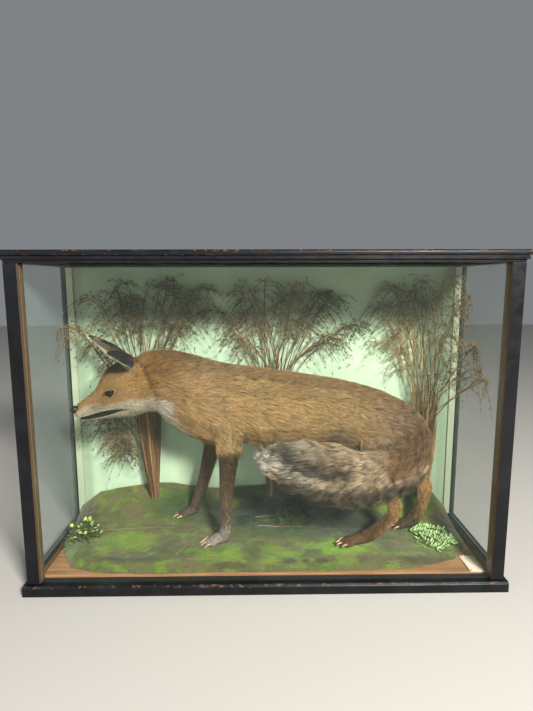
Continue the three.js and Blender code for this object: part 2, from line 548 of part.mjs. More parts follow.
for (const [name, side] of [['left', -1], ['right', 1]]) {
  const across = (inner, outer) => (side < 0 ? [-outer, -inner] : [inner, outer]);
  const plinthEdge = edge(SIDE_RAIL_W + PLINTH_OUT, PLINTH_H, PLINTH_EASE);
  const plinth = easedBar(Y_BACK - postBack - GAP, 'y', plinthEdge);
  const mesh = addMesh(`plinth_${name}`, plinth, 'ebonised_wood');
  mesh.position.set(side * sideIn, (Y_BACK + postBack + GAP) / 2, 0);
  if (side < 0) mesh.rotation.z = Math.PI;
  addBox(`post_front_${name}`, across(X_OUT - POST, X_OUT), [Y_FRONT, postBack], [onPlinth, RAIL_Z - GAP],
    'ebonised_wood');
  addBox(`post_back_${name}`, across(X_OUT - BACK_POST_W, X_OUT), [Y_BACK - BACK_POST_D, Y_BACK],
    [onPlinth, RAIL_Z - GAP], 'ebonised_wood');
  addBox(`side_rail_${name}`, across(sideIn, X_OUT), sideSpan, [onPlinth, onPlinth + SIDE_RAIL_H],
    'ebonised_wood');
  addBox(`top_rail_${name}`, across(X_OUT - POST, X_OUT), sideSpan, [RAIL_Z, railTop], 'ebonised_wood');
  addBox(`cornice_${name}`, across(X_OUT + GAP, X_OUT + CORNICE_OUT), [Y_FRONT, Y_BACK],
    [railTop - CORNICE_H, railTop], 'ebonised_wood');
  addBox(`glass_${name}`, across(X_OUT - GLASS_IN - GLASS_T, X_OUT - GLASS_IN), sideSpan, glassSpan,
    'glass');
  addBox(`corner_strip_${name}`, across(boardSide - STRIP_W, boardSide),
    [Y_BOARD - GAP - STRIP_T, Y_BOARD - GAP], glassSpan, 'painted_board');
}

// ---------------------------------------------------------------- groundwork and plants in place
addMesh('groundwork', toGeometry(moss), 'moss');
for (const [name, sheaf] of Object.entries(SHEAVES)) {
  addMesh(name, toGeometry(sheafSolid(sheaf).subtract(mossGrown)), 'dry_reed');
}
for (const [name, clump] of Object.entries(CLUMPS)) {
  addMesh(name, toGeometry(clumpSolid(clump).subtract(mossGrown)), 'leaf');
}

export default group;
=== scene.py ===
"""A mounted red fox on mossy groundwork in a glazed ebonised case. Metres, +Z up, the glass front at -Y."""
import heapq
import math
from collections import namedtuple

import bmesh
import bpy
import numpy as np
from mathutils import Matrix, Vector, noise
from mathutils.bvhtree import BVHTree
from mathutils.kdtree import KDTree


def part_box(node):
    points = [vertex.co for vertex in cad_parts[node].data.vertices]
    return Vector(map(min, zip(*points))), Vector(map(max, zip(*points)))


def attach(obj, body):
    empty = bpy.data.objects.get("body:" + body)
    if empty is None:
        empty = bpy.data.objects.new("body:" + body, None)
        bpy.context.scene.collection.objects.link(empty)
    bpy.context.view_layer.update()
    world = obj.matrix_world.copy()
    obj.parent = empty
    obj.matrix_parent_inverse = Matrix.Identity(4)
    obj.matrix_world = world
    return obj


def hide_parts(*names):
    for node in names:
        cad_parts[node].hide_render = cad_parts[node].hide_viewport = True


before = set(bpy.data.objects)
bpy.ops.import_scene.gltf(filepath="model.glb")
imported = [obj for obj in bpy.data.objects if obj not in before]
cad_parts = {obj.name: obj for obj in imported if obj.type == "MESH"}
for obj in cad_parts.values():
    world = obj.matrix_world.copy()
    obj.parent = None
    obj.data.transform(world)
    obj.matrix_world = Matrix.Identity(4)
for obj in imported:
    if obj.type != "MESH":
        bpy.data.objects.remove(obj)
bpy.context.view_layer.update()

MM = 0.001
SIDES = {"left": 1, "right": -1}
COLOUR_LAYER = "Coat"
SEED = 7
rng = np.random.default_rng(SEED)
noise.seed_set(SEED)
UP = np.array([0.0, 0.0, 1.0])


# ------------------------------------------------------------------ small helpers
def ease(value, low, high):
    """0 below low, 1 above high, smooth between."""
    t = np.clip((value - low) / (high - low), 0, 1)
    return t * t * (3 - 2 * t)


def mix(a, b, t):
    """From a to b by t; one t serves all three numbers of a colour or a place."""
    t = np.asarray(t)
    rows = 3 in (np.shape(a)[-1:] + np.shape(b)[-1:]) and t.shape[-1:] != (3,)
    return a + (b - a) * (t[..., None] if rows else t)


def blot(*spans):
    """1 at a place and fading away from it; a span is a coordinate, its value there and its reach."""
    return np.exp(-sum(((value - there) / reach) ** 2 for value, there, reach in spans))


def unit(v):
    return v / np.maximum(np.linalg.norm(v, axis=-1, keepdims=True), 1e-9)


def dot(a, b):
    return (a * b).sum(-1)


def srgb(code):
    """A colour written as six hex digits, as linear red, green and blue."""
    c = np.array([int(code[i:i + 2], 16) for i in (0, 2, 4)]) / 255
    return np.where(c < 0.04045, c / 12.92, ((c + 0.055) / 1.055) ** 2.4)


def middle(node):
    low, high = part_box(node)
    return np.array((low + high) / 2)


def triangles(me):
    """A mesh's points and its triangles."""
    me.calc_loop_triangles()
    co = np.empty(len(me.vertices) * 3)
    me.vertices.foreach_get("co", co)
    tri = np.empty(len(me.loop_triangles) * 3, np.int32)
    me.loop_triangles.foreach_get("vertices", tri)
    return co.reshape(-1, 3), tri.reshape(-1, 3)


def welded(name):
    """A CAD node's points and triangles, with the points that share a place joined."""
    co, tri = triangles(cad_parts[name].data)
    co, back = np.unique(np.round(co, 6), axis=0, return_inverse=True)
    tri = back.reshape(-1)[tri]
    whole = (tri[:, 0] != tri[:, 1]) & (tri[:, 1] != tri[:, 2]) & (tri[:, 2] != tri[:, 0])
    return co, tri[whole]


def strips(rings, sides, first=0, flip=False):
    """The triangles between neighbouring rings of points."""
    faces = []
    for r in range(rings - 1):
        for k in range(sides):
            i, j = first + r * sides + k, first + r * sides + (k + 1) % sides
            above, beside = i + sides, j + sides
            faces += [[i, above, j], [j, above, beside]] if flip else [[i, j, above], [j, beside, above]]
    return faces


def repeated(faces, many, points):
    """The faces of one small shape, for each of many shapes of so many points."""
    return (np.array(faces)[None] + np.arange(many)[:, None, None] * points).reshape(-1, 3)


def sheet_faces(rows, columns):
    """The quads of a closed sheet, one grid of points over another; also the points of the upper edge."""
    many = rows * columns
    index = np.arange(many).reshape(rows, columns)
    top = np.stack([index[:-1, :-1], index[1:, :-1], index[1:, 1:], index[:-1, 1:]], 2).reshape(-1, 4)
    edge = np.concatenate([index[:, 0], index[-1, 1:], index[-2::-1, -1], index[0, -2:0:-1]])
    skirt = np.stack([edge, edge + many, np.roll(edge, -1) + many, np.roll(edge, -1)], 1)
    return np.concatenate([top, skirt, top[:, ::-1] + many]), edge


def face_normals(co, tri):
    return np.cross(co[tri[:, 1]] - co[tri[:, 0]], co[tri[:, 2]] - co[tri[:, 0]])


def gather(index, values, count):
    """Sums rows of values into count slots."""
    values = np.asarray(values, float)
    if values.ndim == 1:
        return np.bincount(index, values, count)
    return np.stack([np.bincount(index, column, count) for column in values.T], 1)


def point_normals(co, tri):
    spread = np.repeat(face_normals(co, tri), 3, axis=0)
    return unit(gather(tri.ravel(), spread, len(co)))


def new_mesh(name, co, faces):
    """A mesh from arrays; faces all have the same number of corners."""
    me = bpy.data.meshes.new(name)
    faces = np.asarray(faces, np.int32)
    me.vertices.add(len(co))
    me.vertices.foreach_set("co", np.asarray(co, np.float32).ravel())
    me.loops.add(faces.size)
    me.loops.foreach_set("vertex_index", faces.ravel())
    me.polygons.add(len(faces))
    me.polygons.foreach_set("loop_start", np.arange(0, faces.size, faces.shape[1], dtype=np.int32))
    me.polygons.foreach_set("use_smooth", np.full(len(faces), True))
    me.update(calc_edges=True)
    return me


def paint(me, colour):
    """Stores one colour for each point."""
    rgba = np.ones((len(colour), 4), np.float32)
    rgba[:, :3] = np.clip(colour, 0, 1)
    layer = me.color_attributes.new(COLOUR_LAYER, "FLOAT_COLOR", "POINT")
    layer.data.foreach_set("color", rgba.ravel())


def linked(name, data):
    """A new object in the scene."""
    obj = bpy.data.objects.new(name, data)
    bpy.context.scene.collection.objects.link(obj)
    return obj


def place(me, material, replaces=()):
    """Shows a mesh as a piece of the object."""
    obj = linked(me.name, me)
    me.materials.clear()
    me.materials.append(material)
    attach(obj, "root")
    if replaces:
        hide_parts(*replaces)


def baked(obj, name):
    """The mesh an object shows with its modifiers; the object itself goes."""
    me = bpy.data.meshes.new_from_object(obj.evaluated_get(bpy.context.evaluated_depsgraph_get()))
    me.name = name
    bpy.data.objects.remove(obj)
    return me


# ------------------------------------------------------------------ materials
class Shader:
    """A short way to write a material's nodes."""

    def __init__(self, name, rough=0.6, **sockets):
        self.material = bpy.data.materials.new(name)
        self.material.use_nodes = True
        self.tree = self.material.node_tree
        self.body = self.tree.nodes["Principled BSDF"]
        self.body.inputs["Roughness"].default_value = rough
        for key, value in sockets.items():
            self.body.inputs[key.replace("_", " ")].default_value = value

    def node(self, kind, **settings):
        n = self.tree.nodes.new("ShaderNode" + kind)
        for key, value in settings.items():
            setattr(n, key, value)
        return n

    def link(self, a, b):
        self.tree.links.new(a, b)

    def place(self, scale=(1, 1, 1)):
        """Where a point is in the object's frame, stretched by scale."""
        at = self.node("NewGeometry").outputs["Position"]
        turn = self.node("Mapping")
        turn.inputs["Scale"].default_value = scale
        self.link(at, turn.inputs["Vector"])
        return turn.outputs["Vector"]

    def noise(self, size, detail=4, stretch=(1, 1, 1), rough=0.55, twist=0.0):
        """Cloudy values from 0 to 1 whose lumps are about size metres across."""
        n = self.node("TexNoise")
        n.inputs["Scale"].default_value = 1 / size
        n.inputs["Detail"].default_value = detail
        n.inputs["Roughness"].default_value = rough
        n.inputs["Distortion"].default_value = twist
        self.link(self.place(stretch), n.inputs["Vector"])
        return n.outputs["Fac"]

    def step(self, value, low, high, to=(0.0, 1.0)):
        n = self.node("MapRange", interpolation_type="SMOOTHSTEP")
        for socket, number in zip(("From Min", "From Max", "To Min", "To Max"), (low, high, *to)):
            n.inputs[socket].default_value = number
        self.link(value, n.inputs["Value"])
        return n.outputs["Result"]

    def math(self, operation, a, b=0.0):
        n = self.node("Math", operation=operation)
        for socket, value in zip(n.inputs, (a, b)):
            if isinstance(value, (int, float)):
                socket.default_value = value
            else:
                self.link(value, socket)
        return n.outputs[0]

    def blend(self, a, b, fac, mode="MIX"):
        n = self.node("Mix", data_type="RGBA", blend_type=mode)
        for socket, value in ((n.inputs[0], fac), (n.inputs[6], a), (n.inputs[7], b)):
            if isinstance(value, (int, float)):
                socket.default_value = value
            elif isinstance(value, np.ndarray):
                socket.default_value = (*value, 1)
            else:
                self.link(value, socket)
        return n.outputs[2]

    def colour(self, value):
        if isinstance(value, np.ndarray):
            self.body.inputs["Base Color"].default_value = (*value, 1)
        else:
            self.link(value, self.body.inputs["Base Color"])
        return self

    def bump(self, height, depth, strength=1.0):
        n = self.node("Bump")
        n.inputs["Strength"].default_value = strength
        n.inputs["Distance"].default_value = depth
        self.link(height, n.inputs["Height"])
        self.link(n.outputs["Normal"], self.body.inputs["Normal"])
        return self

    def painted(self):
        return self.node("Attribute", attribute_name=COLOUR_LAYER).outputs["Color"]

    def surface(self, what):
        """The three parts of the surface's Position or Normal."""
        split = self.node("SeparateXYZ")
        self.link(self.node("NewGeometry").outputs[what], split.inputs[0])
        return split.outputs


def ebonised():
    """Black stain, brown where it is chipped and greyed along the arrises."""
    s = Shader("ebonised_wood", 0.4, Coat_Weight=0.08, Coat_Roughness=0.3, Specular_IOR_Level=0.2)
    n = s.surface("Normal")
    size = [s.math("ABSOLUTE", part) for part in n]
    flat = s.math("MAXIMUM", s.math("MAXIMUM", size[0], size[1]), size[2])
    arris = s.step(s.math("SUBTRACT", 1.0, flat), 0.02, 0.22)
    grain = s.noise(0.004, 6, (0.06, 1, 1))
    film = s.blend(srgb("0b0c0f"), srgb("15171b"), s.step(s.noise(0.05, 5), 0.35, 0.75))
    chip = s.math("MULTIPLY", arris, s.step(s.noise(0.012, 6, twist=1.2), 0.57, 0.62))
    nick = s.step(s.noise(0.045, 8, twist=2.0), 0.735, 0.75)
    worn = s.math("MAXIMUM", s.math("MULTIPLY", chip, 0.55), nick)
    col = s.blend(film, srgb("7d5a38"), worn)
    rubbed = s.math("MULTIPLY", arris, s.step(s.noise(0.03, 3), 0.4, 0.7, (0.0, 0.3)))
    col = s.blend(col, srgb("343a44"), rubbed)
    # the faces that look into the case were never painted
    inward = s.step(s.math("MULTIPLY", n[0], s.surface("Position")[0]), -0.35, -0.25, (1.0, 0.0))
    bare = s.blend(srgb("4b3a28"), srgb("6d553a"), grain)
    s.colour(s.blend(col, bare, inward))
    dull = s.step(s.noise(0.02, 5), 0.3, 0.8, (0.3, 0.55))
    s.link(s.math("ADD", dull, s.math("MULTIPLY", worn, 0.3)), s.body.inputs["Roughness"])
    return s.bump(s.math("ADD", grain, s.math("MULTIPLY", worn, -1.5)), 0.00035, 0.5).material


def bare_wood():
    s = Shader("bare_wood", 0.62)
    grain = s.noise(0.006, 7, (0.05, 1, 1), 0.6, 0.6)
    broad = s.noise(0.05, 3, (0.1, 1, 1))
    col = s.blend(srgb("8a6440"), srgb("b58a5c"), s.step(grain, 0.35, 0.68))
    col = s.blend(col, srgb("77522f"), s.step(broad, 0.45, 0.75, (0.0, 0.5)))
    return s.colour(col).bump(grain, 0.0003, 0.4).material


def distemper():
    """Pale green size paint, brushed up and down, with painted shade in a band along each edge and a painted
    shadow of the lid towards the top.
    """
    s = Shader("painted_board", 0.85)
    x, _, z = s.surface("Position")
    brush = s.noise(0.006, 4, (1, 1, 0.06))
    cloud = s.noise(0.11, 5)
    col = s.blend(srgb("a9c6a3"), srgb("bdd6b4"), s.step(cloud, 0.3, 0.7))
    col = s.blend(col, srgb("9dbb9c"), s.step(brush, 0.45, 0.8, (0.0, 0.35)))
    # painted shade: a darker band down each side of the board, beside the corner strips
    far = s.math("ABSOLUTE", x)
    edge = s.math("MULTIPLY", s.step(far, 0.40, 0.418), s.step(far, 0.436, 0.446, (1.0, 0.0)))
    col = s.blend(col, srgb("7f9478"), s.math("MULTIPLY", edge, 0.6))
    # painted shadow of the lid: the upper part of the board is darker
    height = s.math("ADD", z, s.math("MULTIPLY", cloud, 0.08))
    col = s.blend(col, srgb("7b8a68"), s.step(height, 0.46, 0.66, (0.0, 0.55)))
    spots = s.step(s.noise(0.01, 4), 0.68, 0.74, (0.0, 0.35))
    return s.colour(s.blend(col, srgb("8f9f82"), spots)).bump(brush, 0.0002, 0.3).material


def strip_paint():
    s = Shader("corner_strip", 0.8)
    col = s.blend(srgb("93a588"), srgb("b9c2a4"), s.noise(0.01, 4, (1, 1, 0.08)))
    return s.colour(col).bump(s.noise(0.004, 3), 0.0002, 0.3).material


def glazing():
    """Old flat glass: clear face on, greener and brighter at a slant, with a little haze."""
    s = Shader("glass", 0.04, IOR=1.5)
    s.colour(srgb("8fa097"))
    slant = s.node("LayerWeight")
    slant.inputs["Blend"].default_value = 0.12
    haze = s.step(s.noise(0.06, 5, (1, 1, 0.5)), 0.4, 0.85, (0.0, 0.02))
    body = s.step(slant.outputs["Fresnel"], 0.0, 1.0, (0.02, 0.4))
    s.link(s.math("ADD", body, haze), s.body.inputs["Alpha"])
    return s.bump(s.noise(0.08, 1), 0.0004, 0.3).material


def card_stock():
    s = Shader("paper", 0.85)
    col = s.blend(srgb("d9cfb0"), srgb("e9e2cb"), s.noise(0.015, 4))
    col = s.blend(col, srgb("a58a5c"), s.step(s.noise(0.006, 5), 0.62, 0.74, (0.0, 0.5)))
    return s.colour(col).bump(s.noise(0.0012, 3), 0.0001, 0.4).material


def painted_matter(name, rough, grain, depth, sheen=0.0, tint=0.25):
    """A material whose colour is stored with the points, broken up by a fine noise."""
    s = Shader(name, rough, Sheen_Weight=sheen, Specular_IOR_Level=0.25)
    fine = s.noise(grain, 5)
    dark = s.step(fine, 0.25, 0.75, (1.0 - tint, 1.0 + tint * 0.5))
    scaled = s.node("VectorMath", operation="SCALE")
    s.link(s.painted(), scaled.inputs[0])
    s.link(dark, scaled.inputs["Scale"])
    return s.colour(scaled.outputs[0]).bump(fine, depth, 0.5).material


# ------------------------------------------------------------------ the fox's frames
def bend_path(points, stations):
    """A smooth path through a few points."""
    points = np.asarray(points, float)
    t = np.linspace(0, len(points) - 1, stations)
    keys = np.arange(len(points))
    rough = np.stack([np.interp(t, keys, points[:, k]) for k in range(3)], 1)
    for _ in range(stations // 3):
        rough[1:-1] = (rough[:-2] + 2 * rough[1:-1] + rough[2:]) / 4
    return rough


# Head frame in millimetres: a back from the nose's tip, b to the fox's left, c up across the head
NOSE_MID = np.array([6.75, 0.0, -1.5])
EYE_MID = np.array([77.5, 0.0, 10.5])
EYE_OUT, EYE_R = 25.5, 9.2
# the part of the head where the lips are cut (mm): its front, the lips' corner, half its width, its floor
LIPS_FRONT, LIPS_CORNER, LIPS_WIDE, LIPS_LOW = -12, 94, 50, -60
# the line of the parted lips: a, level, half height
LIPS = np.array([[-4, -19.4, 1.5], [9, -21, 1.9], [24, -24.2, 3.8], [42, -26.6, 5.2], [60, -28.2, 5.2],
                 [76, -29.4, 3.8], [90, -30.6, 0.9]])


def head_frame():
    eyes = [middle(f"eye_{side}") for side in SIDES]
    nose = middle("nose")
    b = unit(eyes[0] - eyes[1])
    line = unit((eyes[0] + eyes[1]) / 2 - nose)
    over = np.cross(b, line)
    over = over * np.sign(over[2])
    reach = EYE_MID - NOSE_MID
    tilt = math.atan2(reach[2], reach[0])
    a = math.cos(tilt) * line - math.sin(tilt) * over
    c = math.sin(tilt) * line + math.cos(tilt) * over
    axes = np.stack([a, b, c])
    return axes, nose - NOSE_MID * MM @ axes


HEAD_AXES, NOSE_TIP = head_frame()


def to_head(p):
    return (p - NOSE_TIP) @ HEAD_AXES.T / MM


def from_head(h):
    return np.asarray(h) * MM @ HEAD_AXES + NOSE_TIP


def eye_centre(side):
    return EYE_MID + [0, side * EYE_OUT, 0]


def eye_gap(h):
    """How far each point lies from the middle of the nearer eye."""
    return np.minimum(*(np.linalg.norm(h - eye_centre(side), axis=1) for side in SIDES.values()))


# ------------------------------------------------------------------ the fox's parts and its coat
# nodes; length of the hair, depth of the coat, width of a tuft (mm); tufts to the square centimetre; bends
# in a tuft; how much the skin is smoothed; how far the hair hangs; how much the locks differ in brightness
Part = namedtuple("Part", "nodes long deep wide dense bends smoothed droop contrast")
PARTS = {
    "head": Part(["head", "mouth_lining"], 10, 3.2, 0.8, 76, 1, 0.55, 0.1, 0.05),
    "ear": Part(["ear_left", "ear_right"], 6, 1.0, 0.7, 60, 1, 0.2, 0.0, 0.05),
    "neck": Part(["neck"], 34, 11, 0.9, 36, 2, 1.0, 0.35, 0.08),
    "trunk": Part(["trunk"], 31, 9, 0.86, 28, 2, 1.0, 0.32, 0.09),
    "foreleg": Part(["foreleg_left", "foreleg_right"], 11, 3.4, 0.9, 46, 1, 0.6, 0.3, 0.12),
    "hindleg": Part(["hindleg_left", "hindleg_right"], 19, 4.4, 0.95, 30, 2, 0.8, 0.35, 0.13),
    "paw": Part(["forepaw_left", "forepaw_right", "hindpaw_left", "hindpaw_right"],
                6, 1.8, 0.7, 64, 1, 0.3, 0.0, 0.08),
    "tail": Part(["tail_base", "tail_middle", "tail_tip"], 54, 13, 1.05, 25, 2, 1.0, 0.4, 0.09),
}
KINDS = list(PARTS)
FLESH = [node for part in PARTS.values() for node in part.nodes]
KIND_OF = np.array([i for i, part in enumerate(PARTS.values()) for _ in part.nodes])
GROW = 0.5 * MM  # closes the thin cuts between the nodes
VOXEL = 2.0 * MM
SKIN_KEPT = 0.42  # share of the plain skin's faces that stays
INSET_STEPS = 12
NOWHERE = 99.0  # mm, a distance from the lids or lips that has no effect
# the middle line of the tail, from its root round the thigh to the tip (mm)
TAIL_LINE = np.array([[300, 16, 300], [317, -6, 286], [312, -34, 258], [288, -58, 234], [252, -73, 219],
                      [208, -80, 213], [150, -82, 213], [97, -81, 219], [50, -80, 239], [12, -79, 249],
                      [-22, -78, 251]]) * MM
# the opening between the lids: half lengths towards the nose and the ear, heights of its edges (mm)
LID_INNER, LID_OUTER, LID_UPPER, LID_LOWER = 9.2, 9.0, 3.5, 7.3
LID_WIDE = 6.5
SECTORS = 24
# how far from the eye's middle the rim of the socket may lie, and the lids may reach (mm)
RIM_REACH, LID_REACH = 14, 19


def joined(names, grow):
    """Several nodes as one mesh, each grown a little; also which node each triangle is from."""
    cos, tris, owners, count = [], [], [], 0
    for i, name in enumerate(names):
        co, tri = welded(name)
        cos.append(co + point_normals(co, tri) * grow)
        tris.append(tri + count)
        owners.append(np.full(len(tri), i))
        count += len(co)
    return np.concatenate(cos), np.concatenate(tris), np.concatenate(owners)


def tree_of(co, tri):
    return BVHTree.FromPolygons(co.tolist(), tri.tolist())


def nearest_face(tree, points):
    return np.fromiter((tree.find_nearest(p)[2] for p in points.tolist()), np.int64, len(points))


class Net:
    """The edges of a mesh, for spreading values over it."""

    def __init__(self, tri, count):
        pairs = np.sort(np.concatenate([tri[:, [0, 1]], tri[:, [1, 2]], tri[:, [2, 0]]]), axis=1)
        keys = np.unique(pairs[:, 0].astype(np.int64) * count + pairs[:, 1])
        a, b = keys // count, keys % count
        self.i, self.j = np.concatenate([a, b]), np.concatenate([b, a])
        self.count = count
        self.degree = np.maximum(np.bincount(self.i, minlength=count), 1)

    def mean(self, values):
        total = gather(self.i, values[self.j], self.count)
        return total / (self.degree if total.ndim == 1 else self.degree[:, None])

    def spread(self, values, rounds, share=0.6):
        for _ in range(rounds):
            values = values + (self.mean(values) - values) * share
        return values

    def distance_from(self, co, start):
        """How far each point lies from the start point, along the mesh."""
        order = np.argsort(self.i, kind="stable")
        ends, first = self.j[order], np.searchsorted(self.i[order], np.arange(self.count + 1))
        length = np.linalg.norm(co[self.i[order]] - co[ends], axis=1).tolist()
        ends, first = ends.tolist(), first.tolist()
        far = [math.inf] * self.count
        far[start] = 0.0
        heap = [(0.0, start)]
        while heap:
            d, v = heapq.heappop(heap)
            if d > far[v]:
                continue
            for k in range(first[v], first[v + 1]):
                new = d + length[k]
                if new < far[ends[k]]:
                    far[ends[k]] = new
                    heapq.heappush(heap, (new, ends[k]))
        return np.array(far)


def by_part(measure):
    return np.array([getattr(part, measure) for part in PARTS.values()], float)


def divide(bm, fine):
    """Halves the edges between points that are marked as fine."""
    edges = [e for e in bm.edges if all(fine[v.index] for v in e.verts)]
    bmesh.ops.subdivide_edges(bm, edges=edges, cuts=1, use_grid_fill=False)
    bmesh.ops.triangulate(bm, faces=[f for f in bm.faces if len(f.verts) > 3])


def lid_outline():
    """The opening between the lids seen along the eye: bearings and how far the edge is from its middle."""
    u = np.linspace(-LID_INNER, LID_OUTER, 121)
    t = np.abs(u) / np.where(u < 0, LID_INNER, LID_OUTER)
    upper = LID_UPPER * np.sqrt(1 - t ** 4)
    low = np.abs(u + 1.4) / np.where(u < -1.4, LID_INNER - 1.4, LID_OUTER + 1.4)
    lower = -LID_LOWER * (1 - np.clip(low, 0, 1) ** 2) ** 0.7
    u, v = np.concatenate([u, u[::-1]]), np.concatenate([upper, lower[::-1]])
    bearing = np.arctan2(v, u)
    order = np.argsort(bearing)
    return bearing[order], np.hypot(u, v)[order]


def eye_axes(side):
    """The way an eye looks, along its lids to the ear, and up across them."""
    look = unit(np.array([-0.45, side * 0.86, 0.2]))
    along = np.array([0.99, 0.0, -0.06])
    along = unit(along - look * (along @ look))
    over = np.cross(look, along)
    return look, along, over * np.sign(over[2])


class Skin:
    """The fox's skin as arrays, with what each point needs to know for the coat."""

    def __init__(self):
        self.cad_co, self.cad_tri, self.cad_owner = joined(FLESH, 0.0)
        self.cad_tree = tree_of(self.cad_co, self.cad_tri)
        self.shape()
        self.refine()
        self.sculpt()
        self.survey()

    def owner(self, co):
        return self.cad_owner[nearest_face(self.cad_tree, co)]

    def weights(self, co, net, rounds):
        """How far each point belongs to each kind of part, blended over the joints; and its own kind."""
        kind = KIND_OF[self.owner(co)]
        return net.spread(np.eye(len(KINDS))[kind], rounds), kind

    def share_of(self, kind):
        return self.share[:, KINDS.index(kind)]

    def shape(self):
        """One closed surface round all the nodes of flesh, smoothed and sunk by the coat's depth."""
        co, tri, _ = joined(FLESH, GROW)
        obj = linked("raw", new_mesh("raw", co, tri))
        remesh = obj.modifiers.new("voxels", "REMESH")
        remesh.mode, remesh.voxel_size = "VOXEL", VOXEL
        me = self.me = baked(obj, "skin")
        co, tri = triangles(me)
        self.hull = tree_of(co, tri)
        net = Net(tri, len(co))
        share, _ = self.weights(co, net, 12)
        soft = share @ by_part("smoothed")
        # in and then out again, which smooths the skin and keeps its size
        for _ in range(26):
            for step in (0.55, -0.57):
                co = co + (net.mean(co) - co) * (step * soft)[:, None]
        deep = net.spread(self.depth(share, co), 10) * MM + GROW
        for _ in range(INSET_STEPS):
            inward = net.spread(point_normals(co, tri), 2)
            co = co - unit(inward) * (deep / INSET_STEPS)[:, None]
            for step in (0.6, -0.3):
                co = co + (net.mean(co) - co) * (step * soft)[:, None]
        me.vertices.foreach_set("co", co.astype(np.float32).ravel())
        me.update()
        self.ease_head = ease(share[:, 0] + share[:, 1] * 2, 0.2, 0.6)

    def depth(self, share, co):
        """Depth of the coat in millimetres: thin on the muzzle, deep in the ruff."""
        h = to_head(co)
        face = mix(1.3, 3.6, ease(h[:, 0], 30, 80)) + 4.5 * ease(h[:, 0], 105, 150)
        return share @ by_part("deep") + share[:, 0] * (face - PARTS["head"].deep)

    def refine(self):
        """Fewer faces where the skin is plain, finer ones round the eyes and lips."""
        obj = linked("skin", self.me)
        group = obj.vertex_groups.new(name="plain")
        plain = np.round(1 - self.ease_head, 1)
        for level in np.unique(plain):
            group.add(np.flatnonzero(plain == level).tolist(), float(level), "REPLACE")
        thin = obj.modifiers.new("thin", "DECIMATE")
        thin.ratio, thin.vertex_group = SKIN_KEPT, "plain"
        me = baked(obj, "skin")
        co, tri = triangles(me)
        h = to_head(co)
        a, b, c = h.T
        lips = np.abs(c - np.interp(a, LIPS[:, 0], LIPS[:, 1])) < 13
        lips &= (a > -10) & (a < 96) & (np.abs(b) < 50)
        bm = bmesh.new()
        bm.from_mesh(new_mesh("skin", co, tri))
        divide(bm, lips | (eye_gap(h) < 20))
        bm.verts.index_update()
        divide(bm, eye_gap(to_head(np.array([v.co for v in bm.verts]))) < 16)
        bm.to_mesh(me)
        bm.free()
        self.co, self.tri = triangles(me)

    def sculpt(self):
        """Opens the lids round the eyes and parts the lips."""
        h = to_head(self.co)
        self.lid = np.full(len(h), NOWHERE)
        normal = point_normals(self.co, self.tri) @ HEAD_AXES.T
        for side in SIDES.values():
            inward = dot(normal, h - eye_centre(side)) < 0
            h, gap = self.eyelids(h, inward, side)
            self.lid = np.minimum(self.lid, gap)
        h = self.lips(h)
        on_head = np.linalg.norm(self.co - NOSE_TIP, axis=1) < 0.3
        self.co[on_head] = from_head(h)[on_head]

    def eyelids(self, h, inward, side):
        """Draws the rim of the socket over the ball as two lids, with a fold round them."""
        centre = eye_centre(side)
        look, along, over = eye_axes(side)
        off = h - centre
        far = np.linalg.norm(off, axis=1)
        x, y, height = off @ along, off @ over, off @ look
        turn, rho = np.arctan2(y, x), np.hypot(x, y)
        # where the socket's rim stands all round
        sector = ((turn + math.pi) / (2 * math.pi) * SECTORS).astype(int) % SECTORS
        rims = []
        for k in range(SECTORS):
            here = np.flatnonzero((sector == k) & (far < RIM_REACH))
            top = here[np.argmax(height[here] / far[here])]
            rims.append([rho[top], height[top]])
        rims = np.array(rims)
        rims = 0.5 * rims + 0.25 * (np.roll(rims, 1, 0) + np.roll(rims, -1, 0))
        bearing = (np.arange(SECTORS) + 0.5) / SECTORS * 2 * math.pi - math.pi
        rim_rho, rim_height = (np.interp(turn, bearing, rims[:, k], period=2 * math.pi) for k in (0, 1))
        apart = np.hypot(rho - rim_rho, height - rim_height)
        t = np.clip(apart / LID_WIDE, 0, 1)
        # the edge of the lids over the ball
        slit = np.interp(turn, *lid_outline(), period=2 * math.pi)
        ball = EYE_R + 1.4
        flat = (x / rho.clip(1e-6))[:, None] * along + (y / rho.clip(1e-6))[:, None] * over
        edge = centre + look * np.sqrt(ball ** 2 - slit ** 2)[:, None] + flat * slit[:, None]
        lid = edge * (1 - t)[:, None] + h * t[:, None]
        from_edge = np.linalg.norm(lid - edge, axis=1)
        reach = np.linalg.norm(lid - centre, axis=1)
        fold = 0.9 * blot((from_edge, 3.2, 1.2)) - 0.7 * blot((from_edge, 5.4, 1.0))
        outer = np.maximum(reach, ball + 0.3 * ease(from_edge, 0.2, 1.2)) + fold * (1 - ease(t, 0.6, 1.0))
        lining = mix(ball - 0.6 * ease(t, 0, 0.15), far, ease(t, 0.6, 1.0))
        wanted = np.where(inward, lining, outer)
        held = centre + (lid - centre) * (wanted / reach.clip(1e-6))[:, None]
        active = (far < LID_REACH) & (t < 1)
        gap = np.where(active, np.where(inward, -1.0, from_edge), NOWHERE)
        return np.where(active[:, None], held, h), gap

    def lips(self, h):
        """Draws the skin in along the parted lips, with a low swelling beside the cut."""
        a, b, c = h.T
        level = np.interp(a, LIPS[:, 0], LIPS[:, 1])
        half = np.interp(a, LIPS[:, 0], LIPS[:, 2])
        half = half * ease(LIPS_CORNER - a, 0, 4)
        gap = np.abs(c - level) - half
        inside = (a > LIPS_FRONT) & (a < LIPS_CORNER) & (np.abs(b) < LIPS_WIDE) & (c > LIPS_LOW)
        self.gape = np.where(inside, gap, NOWHERE)
        cut = (1 - ease(self.gape, -1.6, 0.4)) * 6.5
        swell = (1 - ease(np.abs(self.gape - 1.6), 0, 2.2)) * 0.7
        inward = unit(np.stack([16.0 - np.minimum(a, 16), -b, 0 * a], 1))
        return h + inward * (cut - swell)[:, None]

